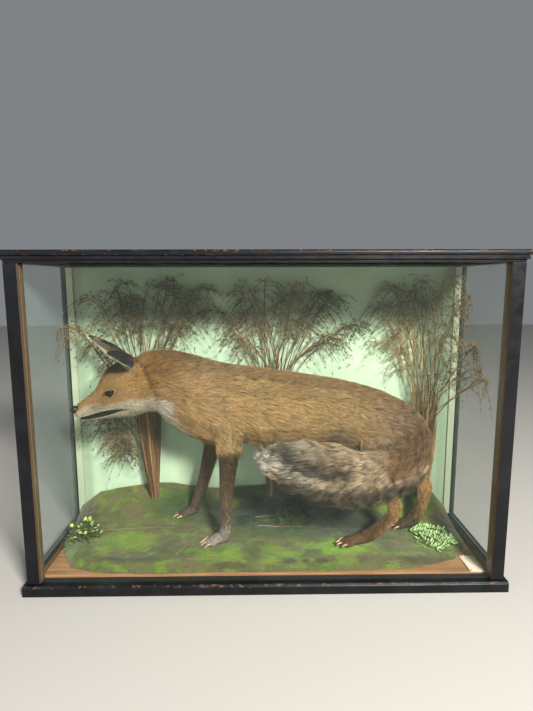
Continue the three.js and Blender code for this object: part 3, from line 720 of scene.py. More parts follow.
    def round_brush(self, co):
        """The way along the tail's middle line beside each point, and the way out from it."""
        middle_line = bend_path(TAIL_LINE, 80)
        way = unit(np.gradient(middle_line, axis=0))
        nearest = np.argmin(((co[:, None] - middle_line[None, ::2]) ** 2).sum(2), axis=1) * 2
        off = co - middle_line[nearest]
        return way[nearest], unit(off - way[nearest] * dot(off, way[nearest])[:, None])

    def brush_lie(self, co):
        """Along the tail, falling below its middle and fanned out round its end."""
        way, off = self.round_brush(co)
        end = ease(0.075 - co[:, 0], 0, 0.07)
        fall = 0.30 + 0.45 * ease(0.1 - off[:, 2], 0, 0.6)
        return unit(way - UP * (fall * (1 - end))[:, None] + off * (0.14 + 0.85 * end)[:, None])

    def survey(self):
        """Normals, part weights, lie of the hair, room under the coat's outline, way from the nose."""
        co, tri = self.co, self.tri
        net = Net(tri, len(co))
        self.normal = point_normals(co, tri)
        self.share, self.kind = self.weights(co, net, 20)
        self.node = self.owner(co)
        self.way = net.distance_from(co, int(np.argmin(np.linalg.norm(co - NOSE_TIP, axis=1))))
        step = co[net.j] - co[net.i]
        rise = (self.way[net.j] - self.way[net.i]) / np.maximum(dot(step, step), 1e-9)
        lie = unit(gather(net.i, step * rise[:, None], net.count))
        lie = net.spread(lie, 40)
        # gravity draws the hair down on the flanks, the neck and the brush
        droop = self.share @ by_part("droop")
        lie = unit(lie) - UP * (droop * (1 - np.abs(self.normal[:, 2])))[:, None]
        lie = mix(lie, self.brush_lie(co), ease(self.share_of("tail"), 0.25, 0.7))
        self.lie = unit(lie - self.normal * dot(lie, self.normal)[:, None])
        hits = [self.hull.find_nearest(p)[3] for p in co.tolist()]
        self.room = np.maximum(np.array(hits) - GROW, 0.2 * MM)
        self.room = np.minimum(self.room, (0.25 + 0.35 * self.lid) * MM)
        self.face_lie = unit(self.lie[tri].mean(1))
        self.face_normal = unit(face_normals(co, tri))
        self.tree = tree_of(co, tri)


# ------------------------------------------------------------------ markings
PALETTE = {name: srgb(code) for name, code in {
    "back": "8d7049", "flank": "b59660", "shoulder": "b29260", "haunch": "8a7155", "belly": "8e7040",
    "nape": "7c5f34", "neck": "835a22", "face": "a07e4a", "brow": "846332", "crown": "7e6136",
    "muzzle": "967549", "whisker": "6a4c2c", "white": "b2aa8f", "bib": "b4ad9a", "rim": "0e0a08",
    "gold": "a97c36", "sock_top_and_crease_shade": "6a4a26", "sock": "8a6e50", "sock_low": "9d8c78", "paw": "b2a798",
    "shade_brown": "6b6050", "shank": "ba9058", "hock": "4a3822", "foot": "76542f", "far_foot_shade": "5f4e34",
    "root": "87643e", "tail": "bba683", "streak": "38281b", "under": "4e4032", "tip": "d2ccba",
    "ear_back": "241d1d", "ear_root": "96662e", "ear_in": "d6c8a6", "grey": "6f5c44", "gum": "120d0c",
}.items()}
# the upper edge of the white on the muzzle and cheek: a, c
WHITE_TOP = ([14, 20, 38, 61, 80, 102, 130, 160], [-6, -2, -4, -9, -11, -13, -21, -31])
# each ear in head millimetres: place, axis, the way it opens, length; and the weight where its colour begins
EARS = {"left": ([129, 36, 58], [-0.5, 0.69, 0.52], [-0.85, -0.25, -0.46], 76, 0.15),
        "right": ([129, -36, 56], [-0.48, -0.5, 0.72], [-0.72, 0.6, -0.46], 84, 0.4)}


def layer(colour, name, amount):
    return mix(colour, PALETTE[name], np.clip(amount, 0, 1))


def body_colours(co, n, blur):
    """The trunk's dark saddle, pale shoulder and haunch and yellowish flank, with painted shade on the
    underside; and the side of the neck.
    """
    x, wave = co[:, 0], 0.012 * blur
    up = n[:, 2] + blur * 0.25
    body = layer(PALETTE["flank"], "shoulder", ease(-x + wave, 0.02, 0.14))
    body = layer(body, "haunch", ease(x + wave, 0.14, 0.26))
    body = layer(body, "back", ease(up, 0.25, 0.8) * 0.9)
    # painted shade: the parts that face down are darker
    body = layer(body, "belly", ease(-up, 0.1, 0.6) * 0.8)
    body = layer(body, "nape", ease(up, 0.2, 0.8) * ease(-x + wave, 0.13, 0.2))
    throat = ease(-n[:, 2] + blur * 0.3 - n[:, 0] * 0.3 - 1.6 * ease(x, -0.255, -0.10), -0.25, 0.35)
    throat = throat * ease(-x + wave, 0.1, 0.17)
    neck_side = layer(body, "neck", ease(-x, 0.15, 0.24) * 0.85 * (1 - ease(up, 0.5, 0.9)))
    return layer(body, "bib", throat), layer(neck_side, "bib", throat)


def face_colours(h):
    """White muzzle and cheeks with dark whisker pads, brown crown and brow, gold before the ears."""
    a, b, c = h.T
    face = layer(PALETTE["face"], "crown", ease(c - 0.25 * a, -2, 24) * 0.9)
    face = layer(face, "muzzle", 1 - ease(a, 34, 66))
    face = layer(face, "white", ease(np.interp(a, *WHITE_TOP) - c, -5, 4) * 0.95)
    pads = blot((a, 38, 7), (c, -9, 3)) + blot((a, 55, 8), (c, -8, 2))
    face = layer(face, "whisker", pads * 0.6 + blot((a, 14, 2), (c, -14, 1.6)) * 0.8)
    face = layer(face, "neck", blot((a, 62, 12), (c, -2, 5)) * 0.5)
    face = layer(face, "brow", blot((a, 80, 16), (c, 22, 5), (np.abs(b), 24, 12)) * 0.9)
    face = layer(face, "gold", blot((a, 138, 22), (c, 18, 16)) * 0.8)
    # painted shade: a dark line along a crease of the skin behind the eye
    crease_shade = blot((c - 27.5 + 0.84 * (a - 129), 0, 2.5)) * ease(a, 104, 116) * (1 - ease(a, 150, 160))
    face = layer(face, "sock_top_and_crease_shade", crease_shade * 0.35)
    return layer(face, "bib", ease(a, 105, 140) * ease(-c, 38, 60) * 0.7)


def ear_colours(co, n, blur, base, axis, opens, long):
    """Black behind, pale within and along the lower edge."""
    axis, opens = unit(np.array(axis)), unit(np.array(opens))
    d = to_head(co) - base
    at = d @ axis / long
    facing = (n @ HEAD_AXES.T) @ opens
    span = np.cross(axis, opens)
    upper = d @ (span * np.sign(span[2])) / 24
    back = layer(PALETTE["ear_root"], "ear_back", ease(at + 0.12 * blur, -0.06, 0.1))
    back = layer(back, "grey", ease(blur, 0.05, 0.4) * 0.35)
    inner = layer(PALETTE["ear_in"], "ear_back", ease(at, 0.72, 0.98) * 0.5)
    within = ease(facing, 0.2, 0.5) * (1 - ease(upper, 0.35, 0.6)) * (1 - ease(at, 0.86, 0.95))
    return mix(back, inner, within)


def leg_colours(co, n, blur):
    """Forelegs, where their stockings begin, hind legs and toes; the far legs get painted shade low down."""
    x, y, z = co.T
    near = ease(-y, -0.02, 0.01)
    # painted shade on the far legs, low down; the pale lower stockings go on the near legs only
    far_low_shade = (1 - near) * ease(0.12 - z, 0.0, 0.06)

    def below(height, fade):
        return ease(height - z + 0.012 * blur, 0.0, fade)

    fore = layer(PALETTE["sock_top_and_crease_shade"], "sock", below(0.22, 0.08))
    fore = layer(fore, "sock_low", below(0.14, 0.05) * near)
    fore = layer(fore, "shade_brown", far_low_shade)
    hind = layer(PALETTE["haunch"], "shank", below(0.21, 0.05))
    hind = layer(hind, "hock", below(0.135, 0.03) * ease(n[:, 2] - 0.4 * n[:, 0], -0.1, 0.6) * 0.85)
    hind = layer(hind, "foot", below(0.085, 0.02))
    hind = layer(hind, "far_foot_shade", far_low_shade * 0.8)
    # the far toes are in painted shade
    toes = mix(PALETTE["shade_brown"], PALETTE["paw"], near)
    toes = mix(toes, mix(PALETTE["far_foot_shade"], PALETTE["foot"], near), ease(x, 0.02, 0.06))
    return fore, below(0.29, 0.05), hind, toes


def brush_colours(sweep, level):
    """Blond with a dark slanting streak, cream strands under it, a dark fringe below and a pale tip."""
    brush = layer(PALETTE["tail"], "haunch", ease(sweep, 0.2, 0.27) * 0.5)
    brush = layer(brush, "tip", ease(0.14 - sweep, 0.0, 0.07) * ease(level, -0.75, -0.45) * 0.75)
    streak_at = np.interp(sweep, [0.02, 0.06, 0.11, 0.18], [0.75, 0.7, 0.62, 0.5])
    streak = blot((level, streak_at, 0.34)) * ease(sweep, 0.04, 0.065) * ease(0.2 - sweep, 0, 0.03)
    brush = layer(brush, "streak", streak * 0.95)
    brush = layer(brush, "under", ease(-level, 0.12, 0.42) * ease(sweep, 0.03, 0.08) * 0.95)
    brush = layer(brush, "root", ease(sweep, 0.235, 0.262) * ease(level, -0.1, 0.3) * 0.9)
    brush = layer(brush, "streak", ease(sweep, 0.26, 0.29) * ease(level, 0.2, 0.6) * 0.35)
    return layer(brush, "tip", ease(0.045 - sweep, 0.0, 0.02))


def markings(skin):
    """The colour of the coat over the whole skin, and how hairy it is."""
    co, n = skin.co, skin.normal
    x, _, z = co.T
    head, ear, neck, trunk, foreleg, hindleg, paw, tail = skin.share.T
    blur = np.array([noise.noise(Vector(p) * 42) for p in co.tolist()])
    wave = 0.012 * blur
    h = to_head(co) + (blur * 3)[:, None]
    a, b, c = h.T

    colour, neck_side = body_colours(co, n, blur)
    colour = mix(colour, neck_side, np.clip(neck + head, 0, 1))
    colour = mix(colour, face_colours(h), np.clip(head + ear * 0.5, 0, 1))
    for side_name, side in SIDES.items():
        *shape, rooted = EARS[side_name]
        here = ear * (np.sign(b) == side)
        colour = mix(colour, ear_colours(co, n, blur, *shape), ease(here, rooted, rooted + 0.35))
    fore, stocking, hind, toes = leg_colours(co, n, blur)
    colour = mix(colour, fore, ease(foreleg, 0.25, 0.75) * stocking)
    colour = mix(colour, hind, ease(hindleg, 0.25, 0.75))
    colour = mix(colour, toes, ease(paw, 0.3, 0.8))
    level = skin.round_brush(co)[1][:, 2] + 8 * wave
    colour = mix(colour, brush_colours(x + wave, level), ease(tail, 0.3, 0.8))
    # painted shade: a dark blot low on the trunk, in front of the thighs
    colour = layer(colour, "shade_brown", blot((x, 0.125, 0.03), (z, 0.285, 0.03)) * trunk * 0.7)
    fine = np.array([noise.noise(Vector(p) * 150) for p in co.tolist()])
    colour = colour * (1 + 0.13 * fine + 0.10 * blur)[:, None]

    # painted shade in the fold round each eye, stronger behind it
    behind = ease(a + 0.8 * (c - 10), 74, 84)
    colour = layer(colour, "sock_top_and_crease_shade", blot((skin.lid, 5.2, 1.1)) * (0.35 + 0.6 * behind))
    # bare skin: rims of the lids, corners of the eyes, gums
    colour = layer(colour, "rim", 1 - ease(skin.lid, 0.9, 2.2))
    smudge = blot((a, 64, 5.5), (c - 8.4 - 0.33 * (a - 63), 0, 1.9))
    colour = layer(colour, "rim", smudge * head * 0.85)
    colour = layer(colour, "gum", 1 - ease(skin.gape, 0.2, 1.2))
    return colour, np.minimum(ease(skin.lid, 1.0, 2.0), ease(skin.gape, 0.4, 1.6))


# ------------------------------------------------------------------ coat
TUFT_PATCH = 0.003
SHARE_OF_TUFTS = 1.0
TUFTS_IN_LOCK, TUFTS_IN_BRUSH_LOCK = 5, 12
TAPER = (1.0, 0.82)
# where one piece of the coat ends and the next begins: on the face (head mm), along and across the fox (m)
FACE_END, WAIST, MIDLINE, BRUSH_END = 88, 0.06, -0.004, 0.12


def everywhere(p):
    return np.full(len(p), True)


# coat piece: kind of part, and where its roots lie
COATS = {
    "coat_face": ("head", lambda p: to_head(p)[:, 0] < FACE_END),
    "coat_cheeks": ("head", lambda p: to_head(p)[:, 0] >= FACE_END),
    "coat_ears": ("ear", everywhere),
    "coat_neck": ("neck", everywhere),
    "coat_chest_left": ("trunk", lambda p: (p[:, 0] < WAIST) & (p[:, 1] < MIDLINE)),
    "coat_chest_right": ("trunk", lambda p: (p[:, 0] < WAIST) & (p[:, 1] >= MIDLINE)),
    "coat_rump_left": ("trunk", lambda p: (p[:, 0] >= WAIST) & (p[:, 1] < MIDLINE)),
    "coat_rump_right": ("trunk", lambda p: (p[:, 0] >= WAIST) & (p[:, 1] >= MIDLINE)),
    "coat_forelegs": ("foreleg", everywhere),
    "coat_hindlegs": ("hindleg", everywhere),
    "coat_paws": ("paw", everywhere),
    "coat_brush": ("tail", lambda p: p[:, 0] < BRUSH_END),
    "coat_tail": ("tail", lambda p: p[:, 0] >= BRUSH_END),
}


def scatter(skin, kind, inside, density):
    """Roots over the faces of one kind of part: the face of each, and its place between the corners."""
    co, tri = skin.co, skin.tri
    faces = np.flatnonzero((skin.kind[tri[:, 0]] == KINDS.index(kind)) & inside(co[tri].mean(1)))
    area = np.linalg.norm(face_normals(co, tri[faces]), axis=1) / 2
    bare = skin.hairy[tri[faces]].min(1) < 0.5
    want = area * 1e4 * density[faces] * SHARE_OF_TUFTS * ~bare
    many = np.floor(want + rng.random(len(want))).astype(int)
    face = np.repeat(faces, many)
    u, v = rng.random((2, len(face)))
    flip = u + v > 1
    u, v = np.where(flip, 1 - u, u), np.where(flip, 1 - v, v)
    return face, np.stack([1 - u - v, u, v], 1)


def at_roots(values, skin, face, corner):
    """Values of the skin's points, as they are at the roots."""
    three = values[skin.tri[face]]
    return (three * (corner[..., None] if three.ndim == 3 else corner)).sum(1)


def wandering(points, scale, strength):
    """A slow turn shared by neighbours."""
    where = (points * scale).tolist()
    return np.array([noise.noise_vector(p) for p in where]) * strength


def lock_leaders(roots, many):
    """For each tuft, the tuft that its lock gathers round."""
    leaders = rng.choice(len(roots), max(1, len(roots) // many), replace=False)
    tree = KDTree(len(leaders))
    for i in leaders.tolist():
        tree.insert(roots[i].tolist(), i)
    tree.balance()
    return np.fromiter((tree.find(p)[1] for p in roots.tolist()), np.int64, len(roots))


def tuft_height(kind, root, normal, lock):
    """How much of the room under the coat's outline each tuft fills."""
    stand = 0.88 + 0.09 * lock + rng.normal(0, 0.08, len(root))
    x, down = root[:, 0], -normal[:, 2]
    if kind == "tail":
        stand = stand + 0.34 * rng.random(len(root)) ** 2 + (0.5 + 0.42 * lock) * ease(down, 0.0, 0.6)
        stand = stand + 1.25 * ease(-down, 0.2, 0.8) * ease(x, 0.02, 0.11) * ease(0.2 - x, 0, 0.04)
    if kind == "trunk":
        near = ease(-root[:, 1], 0.0, 0.03)
        belly = 0.9 * ease(down, 0.3, 0.7) * near * ease(x, -0.05, 0.0)
        stand = stand + 0.8 * ease(down, 0.45, 0.9) + belly
    return stand


def walk(skin, root, normal, lie, wander, length, height, bends):
    """Lays each tuft along the skin: the stations of its spine, and the way out of the skin at each."""
    spine, ups = [root - normal * 0.6 * MM], [normal]
    here, way, up = root, lie, normal
    for k in range(1, bends + 1):
        way = unit(way + wander - up * dot(way + wander, up)[:, None])
        step = here + way * (length / bends)[:, None]
        found = [skin.tree.find_nearest(p) for p in step.tolist()]
        here = np.array([hit[0] for hit in found])
        on = np.fromiter((hit[2] for hit in found), np.int64, len(root))
        up = unit(up + skin.face_normal[on])
        rise = height * (1 - (1 - k / bends) ** 2 * 0.8) * (0.96 if bends > 1 else 0.9)
        spine.append(here + up * rise[:, None])
        ups.append(up)
        way = unit(skin.face_lie[on] + way)
    return spine, ups


def draw_together(spine, leader, strength, length):
    """Gathers the tufts of each lock towards its leader, more and more from root to tip."""
    bends = len(spine) - 1
    for k in range(1, bends + 1):
        apart = np.linalg.norm(spine[k][leader] - spine[k], axis=1).clip(1e-6)
        spine[k] = mix(spine[k], spine[k][leader], np.minimum(strength * k / bends, 0.5 * length / apart))


def tuft_shapes(spine, ups, half):
    """The points of three-sided tufts that taper to a tip, one tuft after the other, and their faces."""
    bends = len(spine) - 1
    rings = []
    for k in range(bends):
        across = unit(np.cross(ups[k], spine[k + 1] - spine[max(k - 1, 0)]))
        w = half * TAPER[k] * (1 if bends > 1 else 1.1)
        side, rise = across * w[:, None], ups[k] * (w * 0.55)[:, None]
        rings += [spine[k] + side, spine[k] + rise, spine[k] - side]
    rings.append(spine[-1])
    last, tip = 3 * (bends - 1), 3 * bends
    faces = [[0, 2, 1]] + strips(bends, 3) + [[last + s, last + (s + 1) % 3, tip] for s in range(3)]
    return np.stack(rings, 1).reshape(-1, 3), repeated(faces, len(half), tip + 1)


def tuft_tones(kind, lock, bends):
    """Dark at the root, full colour in the middle, a paler or darker tip."""
    count = len(lock)
    tint = 1 + PARTS[kind].contrast * lock + rng.normal(0, 0.12, count)
    grizzle = lock + rng.normal(0, 0.8, count)
    tip = np.where(grizzle < -1.2, 0.62, np.where(grizzle > 1.1, 1.26, 1.05))
    shade = [np.full(count, 0.75 if kind in ("ear", "paw") else 0.64)]
    shade += [np.full(count, 0.88 + 0.1 * k) for k in range(1, bends)]
    tones = np.repeat(np.stack(shade, 1), 3, axis=1)
    return np.concatenate([tones, tip[:, None]], 1) * tint[:, None]


def coat_piece(skin, name, kind, inside):
    """One piece of the coat: tufts that lie along the skin, gathered in locks."""
    part, on_tail = PARTS[kind], kind == "tail"
    face_mid = skin.co[skin.tri].mean(1)
    scale = hair_scale(kind, face_mid)
    dense = part.dense / np.maximum(scale, 0.45) ** 0.9
    if on_tail:
        dense = dense * (1 + 3 * ease(0.035 - face_mid[:, 0], 0, 0.03))
    face, corner = scatter(skin, kind, inside, dense)
    root, normal, lie, room, colour = (at_roots(values, skin, face, corner) for values in
                                       (skin.co, skin.normal, skin.lie, skin.room, skin.colour))
    normal, lie = unit(normal), unit(lie)
    count = len(root)
    length = part.long * MM * scale[face] * rng.uniform(0.72, 1.2, count)
    leader = lock_leaders(root, TUFTS_IN_BRUSH_LOCK if on_tail else TUFTS_IN_LOCK)
    wander = wandering(root, 45, 0.42) + rng.normal(0, 0.13, (count, 3))
    lock = rng.normal(0, 1, count)[leader] + 0.8 * wandering(root + 7.7, 80, 1.0)[:, 0]
    lock = np.clip(lock, -2.2, 2.2)
    height = room * tuft_height(kind, root, normal, lock)
    spine, ups = walk(skin, root, normal, lie, wander, length, height, part.bends)
    draw_together(spine, leader, 0.66 if on_tail else 0.5, length)
    half = part.wide * MM * (0.62 + 0.38 * scale[face]) * rng.uniform(0.36, 0.62, count)
    points, faces = tuft_shapes(spine, ups, half)
    me = new_mesh(name, points, faces)
    tones = tuft_tones(kind, lock, part.bends)
    paint(me, (colour[:, None, :] * tones[..., None]).reshape(-1, 3))
    unwrap_tufts(me, skin, face, corner, points.reshape(count, -1, 3))
    place(me, fur_of[kind])


def hair_scale(kind, p):
    """How long the hair is against its part's own measure."""
    a, _, c = to_head(p).T
    if kind == "head":
        return 0.34 + 0.36 * ease(a, 30, 80) + 1.0 * ease(a, 84, 128) * (0.35 + 0.65 * ease(-c, -20, 30))
    if kind == "foreleg":
        return 0.8 + 0.7 * ease(p[:, 2], 0.16, 0.25)
    if kind == "hindleg":
        return 0.7 + 0.6 * ease(p[:, 2], 0.13, 0.24)
    if kind == "tail":
        return 0.8 + 0.3 * ease(0.20 - p[:, 0], 0, 0.12) - 0.5 * ease(0.03 - p[:, 0], 0, 0.05)
    if kind == "trunk":
        return 0.85 + 0.3 * ease(np.abs(p[:, 0] - 0.03), 0.02, 0.2)
    return np.ones(len(p))


def unwrap_tufts(me, skin, face, corner, tufts):
    """OFBake: every tuft is a small patch of the skin laid flat, at the place of its root."""
    spot = at_roots(skin.unrolled, skin, face, corner)
    offset = tufts - tufts[:, :1]
    tangent = unit(tufts[:, -1] - tufts[:, 0])
    side = unit(tufts[:, 0] - tufts[:, 2])
    size = np.linalg.norm(offset, axis=2).max(1)
    u = dot(offset, side[:, None]) / size[:, None]
    v = dot(offset, tangent[:, None]) / size[:, None]
    uv = spot[:, None, :] + np.stack([u, v], 2) * (TUFT_PATCH / 2)
    layer_uv = me.uv_layers.new(name="OFBake")
    corners = np.empty(len(me.loops), np.int32)
    me.loops.foreach_get("vertex_index", corners)
    layer_uv.data.foreach_set("uv", uv.reshape(-1, 2)[corners].astype(np.float32).ravel())


def unroll(skin):
    """Each point's place on the skin laid flat: the angle round its limb and the way from the nose."""
    slice_long = 0.012
    columns, rows = 6, 4
    flat = np.zeros((len(skin.co), 2))
    for index in range(len(FLESH)):
        on = skin.node == index
        if not on.any():
            continue
        co, way = skin.co[on], skin.way[on]
        start = way.min()
        slices = ((way - start) / slice_long).astype(int)
        filled = np.bincount(slices)
        centre = gather(slices, co, len(filled)) / np.maximum(filled, 1)[:, None]
        full = np.flatnonzero(filled)
        centre = np.stack([np.interp(way, start + slice_long * (full + 0.5), centre[full, k])
                           for k in range(3)], 1)
        axis = unit(co[np.argmax(way)] - co[np.argmin(way)])
        across = unit(np.cross(axis, [0.1, 0.3, 1.0]))
        over = np.cross(across, axis)
        d = co - centre
        angle = np.arctan2(d @ across, d @ over) / (2 * math.pi)
        width = 0.55 * np.median(np.linalg.norm(d, axis=1)) * 2 * math.pi
        flat[on, 0] = (index % columns + 0.5 + angle * min(width, 0.9) * 2.2) / columns
        flat[on, 1] = (index // columns + 0.05 + 0.9 * (way - start) / max(np.ptp(way), 0.01)) / rows
    return flat


# ------------------------------------------------------------------ the fox
skin = Skin()
skin.colour, skin.hairy = markings(skin)
skin.unrolled = unroll(skin)
fur_of = {kind: painted_matter("fur_" + kind, 0.6, 0.004, 0.0004, 0.0, 0.2) for kind in KINDS}
skin_mesh = new_mesh("skin", skin.co, skin.tri)
# painted shade: the skin is darker where the coat covers it and keeps its own colour where it is bare
paint(skin_mesh, skin.colour * mix(0.62, 1.0, 1 - skin.hairy)[:, None])
place(skin_mesh, painted_matter("hide", 0.75, 0.0022, 0.0012, 0.0, 0.45), FLESH)
for piece, (kind, inside) in COATS.items():
    coat_piece(skin, piece, kind, inside)


# ------------------------------------------------------------------ case
ARRIS = 1.2 * MM


def bevelled(node, material):
    """A copy of a wooden node with its edges eased."""
    obj = linked(node, new_mesh(node + "_eased", *welded(node)))
    flat = obj.modifiers.new("flat", "DECIMATE")
    flat.decimate_type, flat.angle_limit = "DISSOLVE", math.radians(1)
    edge = obj.modifiers.new("ease", "BEVEL")
    edge.width, edge.segments, edge.limit_method = ARRIS, 2, "ANGLE"
    me = baked(obj, node + "_eased")
    me.polygons.foreach_set("use_smooth", np.full(len(me.polygons), False))
    place(me, material, [node])


EBONISED = ["plinth_front", "plinth_back", "plinth_left", "plinth_right", "top_rail_front", "top_rail_back",
            "top_rail_left", "top_rail_right", "cornice_front", "cornice_left", "cornice_right",
            "post_front_left", "post_front_right", "post_back_left", "post_back_right",
            "side_rail_left", "side_rail_right", "lid"]
black = ebonised()
for node in EBONISED:
    bevelled(node, black)


def dress(nodes, material):
    for node in nodes:
        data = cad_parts[node].data
        data.materials.clear()
        data.materials.append(material)


dress(["base_board"], bare_wood())
dress(["back_board"], distemper())
dress(["corner_strip_left", "corner_strip_right"], strip_paint())
dress(["glass_front", "glass_left", "glass_right"], glazing())


# ------------------------------------------------------------------ small parts as joined meshes
class Heap:
    """Many small closed shapes, gathered into one mesh."""

    def __init__(self):
        self.points, self.faces, self.tints, self.count = [], [], [], 0

    def add(self, points, faces, tint):
        self.points.append(points)
        self.faces.append(np.asarray(faces) + self.count)
        self.tints.append(np.broadcast_to(tint, points.shape))
        self.count += len(points)

    def tubes(self, paths, radii, tint, sides=3, flat=1.0, facing=UP):
        """Closed tubes along paths (tubes, stations, 3); flat thins them across the way they face."""
        paths = np.asarray(paths, float)
        many, long = paths.shape[:2]
        radii = np.broadcast_to(radii, (many, long))
        way = unit(np.gradient(paths, axis=1))
        across = unit(np.cross(way, facing) + 1e-6)
        over = np.cross(across, way)
        turn = np.arange(sides) / sides * 2 * math.pi
        ring = across[:, :, None] * np.cos(turn)[:, None]
        ring = ring + over[:, :, None] * (np.sin(turn) * flat)[:, None]
        points = paths[:, :, None] + ring * radii[:, :, None, None]
        last, per = (long - 1) * sides, long * sides
        faces = [[0, k + 1, k] for k in range(1, sides - 1)] + strips(long, sides)
        faces += [[last, last + k, last + k + 1] for k in range(1, sides - 1)]
        tint = np.broadcast_to(np.asarray(tint).reshape(-1, 1, 3), (many, per, 3))
        self.add(points.reshape(-1, 3), repeated(faces, many, per), tint.reshape(-1, 3))

    def mesh(self, name):
        me = new_mesh(name, np.concatenate(self.points), np.concatenate(self.faces))
        paint(me, np.concatenate(self.tints))
        return me


def tone(code, spread, count):
    """Colours scattered in brightness about one colour."""
    return srgb(code) * np.clip(rng.normal(1, spread, (count, 1)), 0.4, 1.8)


def ball(rings, sides, shape, power=1.0):
    """A closed ball: shape(turn about the axis, angle from the axis) gives the points."""
    theta = np.linspace(0, 1, rings + 1)[1:-1] ** power * math.pi
    turn = np.arange(sides) / sides * 2 * math.pi
    grid = np.stack(np.meshgrid(theta, turn, indexing="ij"), 2).reshape(-1, 2)
    angles = np.concatenate([[[0.0, 0.0]], grid, [[math.pi, 0.0]]])
    points = shape(angles[:, 1], angles[:, 0])
    faces = [[0, 1 + k, 1 + (k + 1) % sides] for k in range(sides)] + strips(rings - 1, sides, 1, True)
    last = 1 + (rings - 2) * sides
    faces += [[last + (k + 1) % sides, last + k, len(points) - 1] for k in range(sides)]
    return points, np.array(faces), angles


# ------------------------------------------------------------------ eyes, nose, claws, whiskers
def eye(side_name, side):
    """A brown glass eye with a round pupil, its cornea a little proud."""
    look, along, over = eye_axes(side)

    def surface(turn, theta):
        out = EYE_R + 0.4 * (1 - ease(theta, 0.1, 0.75))
        sideways, upwards = np.sin(theta) * np.cos(turn), np.sin(theta) * np.sin(turn)
        ray = np.cos(theta)[:, None] * look + sideways[:, None] * along + upwards[:, None] * over
        return out[:, None] * ray

    points, faces, angles = ball(52, 64, surface, 1.3)
    theta, turn = angles.T
    u, v = np.sin(theta) * np.cos(turn) * EYE_R, np.sin(theta) * np.sin(turn) * EYE_R
    streak = 0.75 + 0.35 * np.sin(turn * 29 + 3 * np.sin(turn * 7)) * ease(theta, 0.25, 0.5)
    iris = mix(srgb("46220f"), srgb("1d0e08"), ease(theta, 0.4, 0.8)) * streak[:, None]
    iris = mix(iris, srgb("050404"), 1 - ease(np.hypot((u - 0.8) / 5.0, (v - 1.0) / 4.9), 0.86, 1.06))
    iris = mix(iris, srgb("120b09"), ease(theta, 0.8, 0.92))
    iris = np.where(np.cos(theta)[:, None] < 0, srgb("120b09"), iris)
    faces = faces if side < 0 else faces[:, ::-1]
    me = new_mesh(f"eyeball_{side_name}", from_head(eye_centre(side) + points), faces)
    paint(me, iris)
    s = Shader("eye_glass", 0.06, Coat_Weight=0.3, Coat_Roughness=0.02, IOR=1.5, Specular_IOR_Level=0.05)
    s.colour(s.painted())
    place(me, s.material, [f"eye_{side_name}"])


def nose_pad():
    """Black leather with two comma nostrils and a groove between them."""

    def surface(turn, theta):
        ray = np.stack([-np.cos(theta), np.sin(theta) * np.cos(turn), np.sin(theta) * np.sin(turn)], 1)
        a, b, c = ray.T
        side = np.abs(b)
        out = ray * (np.array([8.4, 9.7, 8.5]) * (1 - 0.07 * ease(a, -1, -0.75))[:, None])
        nostril = blot((a, -0.76, 0.2), (side, 0.46, 0.19), (c, -0.02, 0.22))
        comma = blot((a, -0.45, 0.3), (side, 0.84, 0.2), (c + 0.22 + 0.2 * a, 0, 0.1))
        groove = blot((b, 0, 0.06)) * ease(-a, 0.1, 0.6) * (0.5 + 0.5 * ease(-c, -0.5, 0.4))
        wing = blot((a, -0.6, 0.3), (side, 0.66, 0.22), (c, 0.3, 0.25))
        deep = 4.6 * nostril + 2.4 * comma + 1.0 * groove - 0.7 * wing
        return out - ray * deep[:, None]

    points, faces, _ = ball(72, 96, surface)
    me = new_mesh("nose_pad", from_head(NOSE_MID + points), faces)
    s = Shader("nose_leather", 0.3, Coat_Weight=0.15, Coat_Roughness=0.2, Specular_IOR_Level=0.35)
    cells = s.node("TexVoronoi")
    cells.inputs["Scale"].default_value = 900
    s.link(s.place(), cells.inputs["Vector"])
    s.colour(s.blend(srgb("0b090a"), srgb("1c1718"), cells.outputs["Distance"]))
    s.bump(cells.outputs["Distance"], 0.0005, 0.7)
    place(me, s.material, ["nose"])


# each paw: heel, toes, half width and height (mm)
PAWS = {"forepaw_left": ([-78, -27, 46], [-131, -40, 45], 18, 27),
        "forepaw_right": ([-154, 62, 64], [-203, 50, 63], 18, 25),
        "hindpaw_left": ([214, -35, 45], [150, -44, 44], 17, 25),
        "hindpaw_right": ([336, 31, 46], [280, 27, 46], 17, 25)}
CLAW_LONG, CLAW_R = 14, 2.1


def claws():
    """Four curved claws on each paw."""
    heap = Heap()
    t = np.linspace(0, 1, 9)[:, None]
    radii = np.linspace(1, 0.05, 9) ** 0.7 * CLAW_R * MM
    for heel, toes, half, high in PAWS.values():
        heel, toes = np.array(heel) * MM, np.array(toes) * MM
        ahead = unit((toes - heel) * [1, 1, 0])
        across = np.cross(ahead, UP)
        for toe in (-1.5, -0.5, 0.5, 1.5):
            tip = 1.0 if abs(toe) < 1 else 0.86
            start = heel + (toes - heel) * (tip - 0.1) + across * toe * 0.535 * half * MM
            start = start + UP * high * 0.36 * MM
            path = start + ahead * t * CLAW_LONG * MM + UP * (2.2 * t - 8.2 * t ** 2) * MM
            heap.tubes(path[None], radii, tone("c4a982", 0.08, 1), 10, 1.25)
    place(heap.mesh("claws"), painted_matter("horn", 0.38, 0.003, 0.0002, 0.0, 0.35))


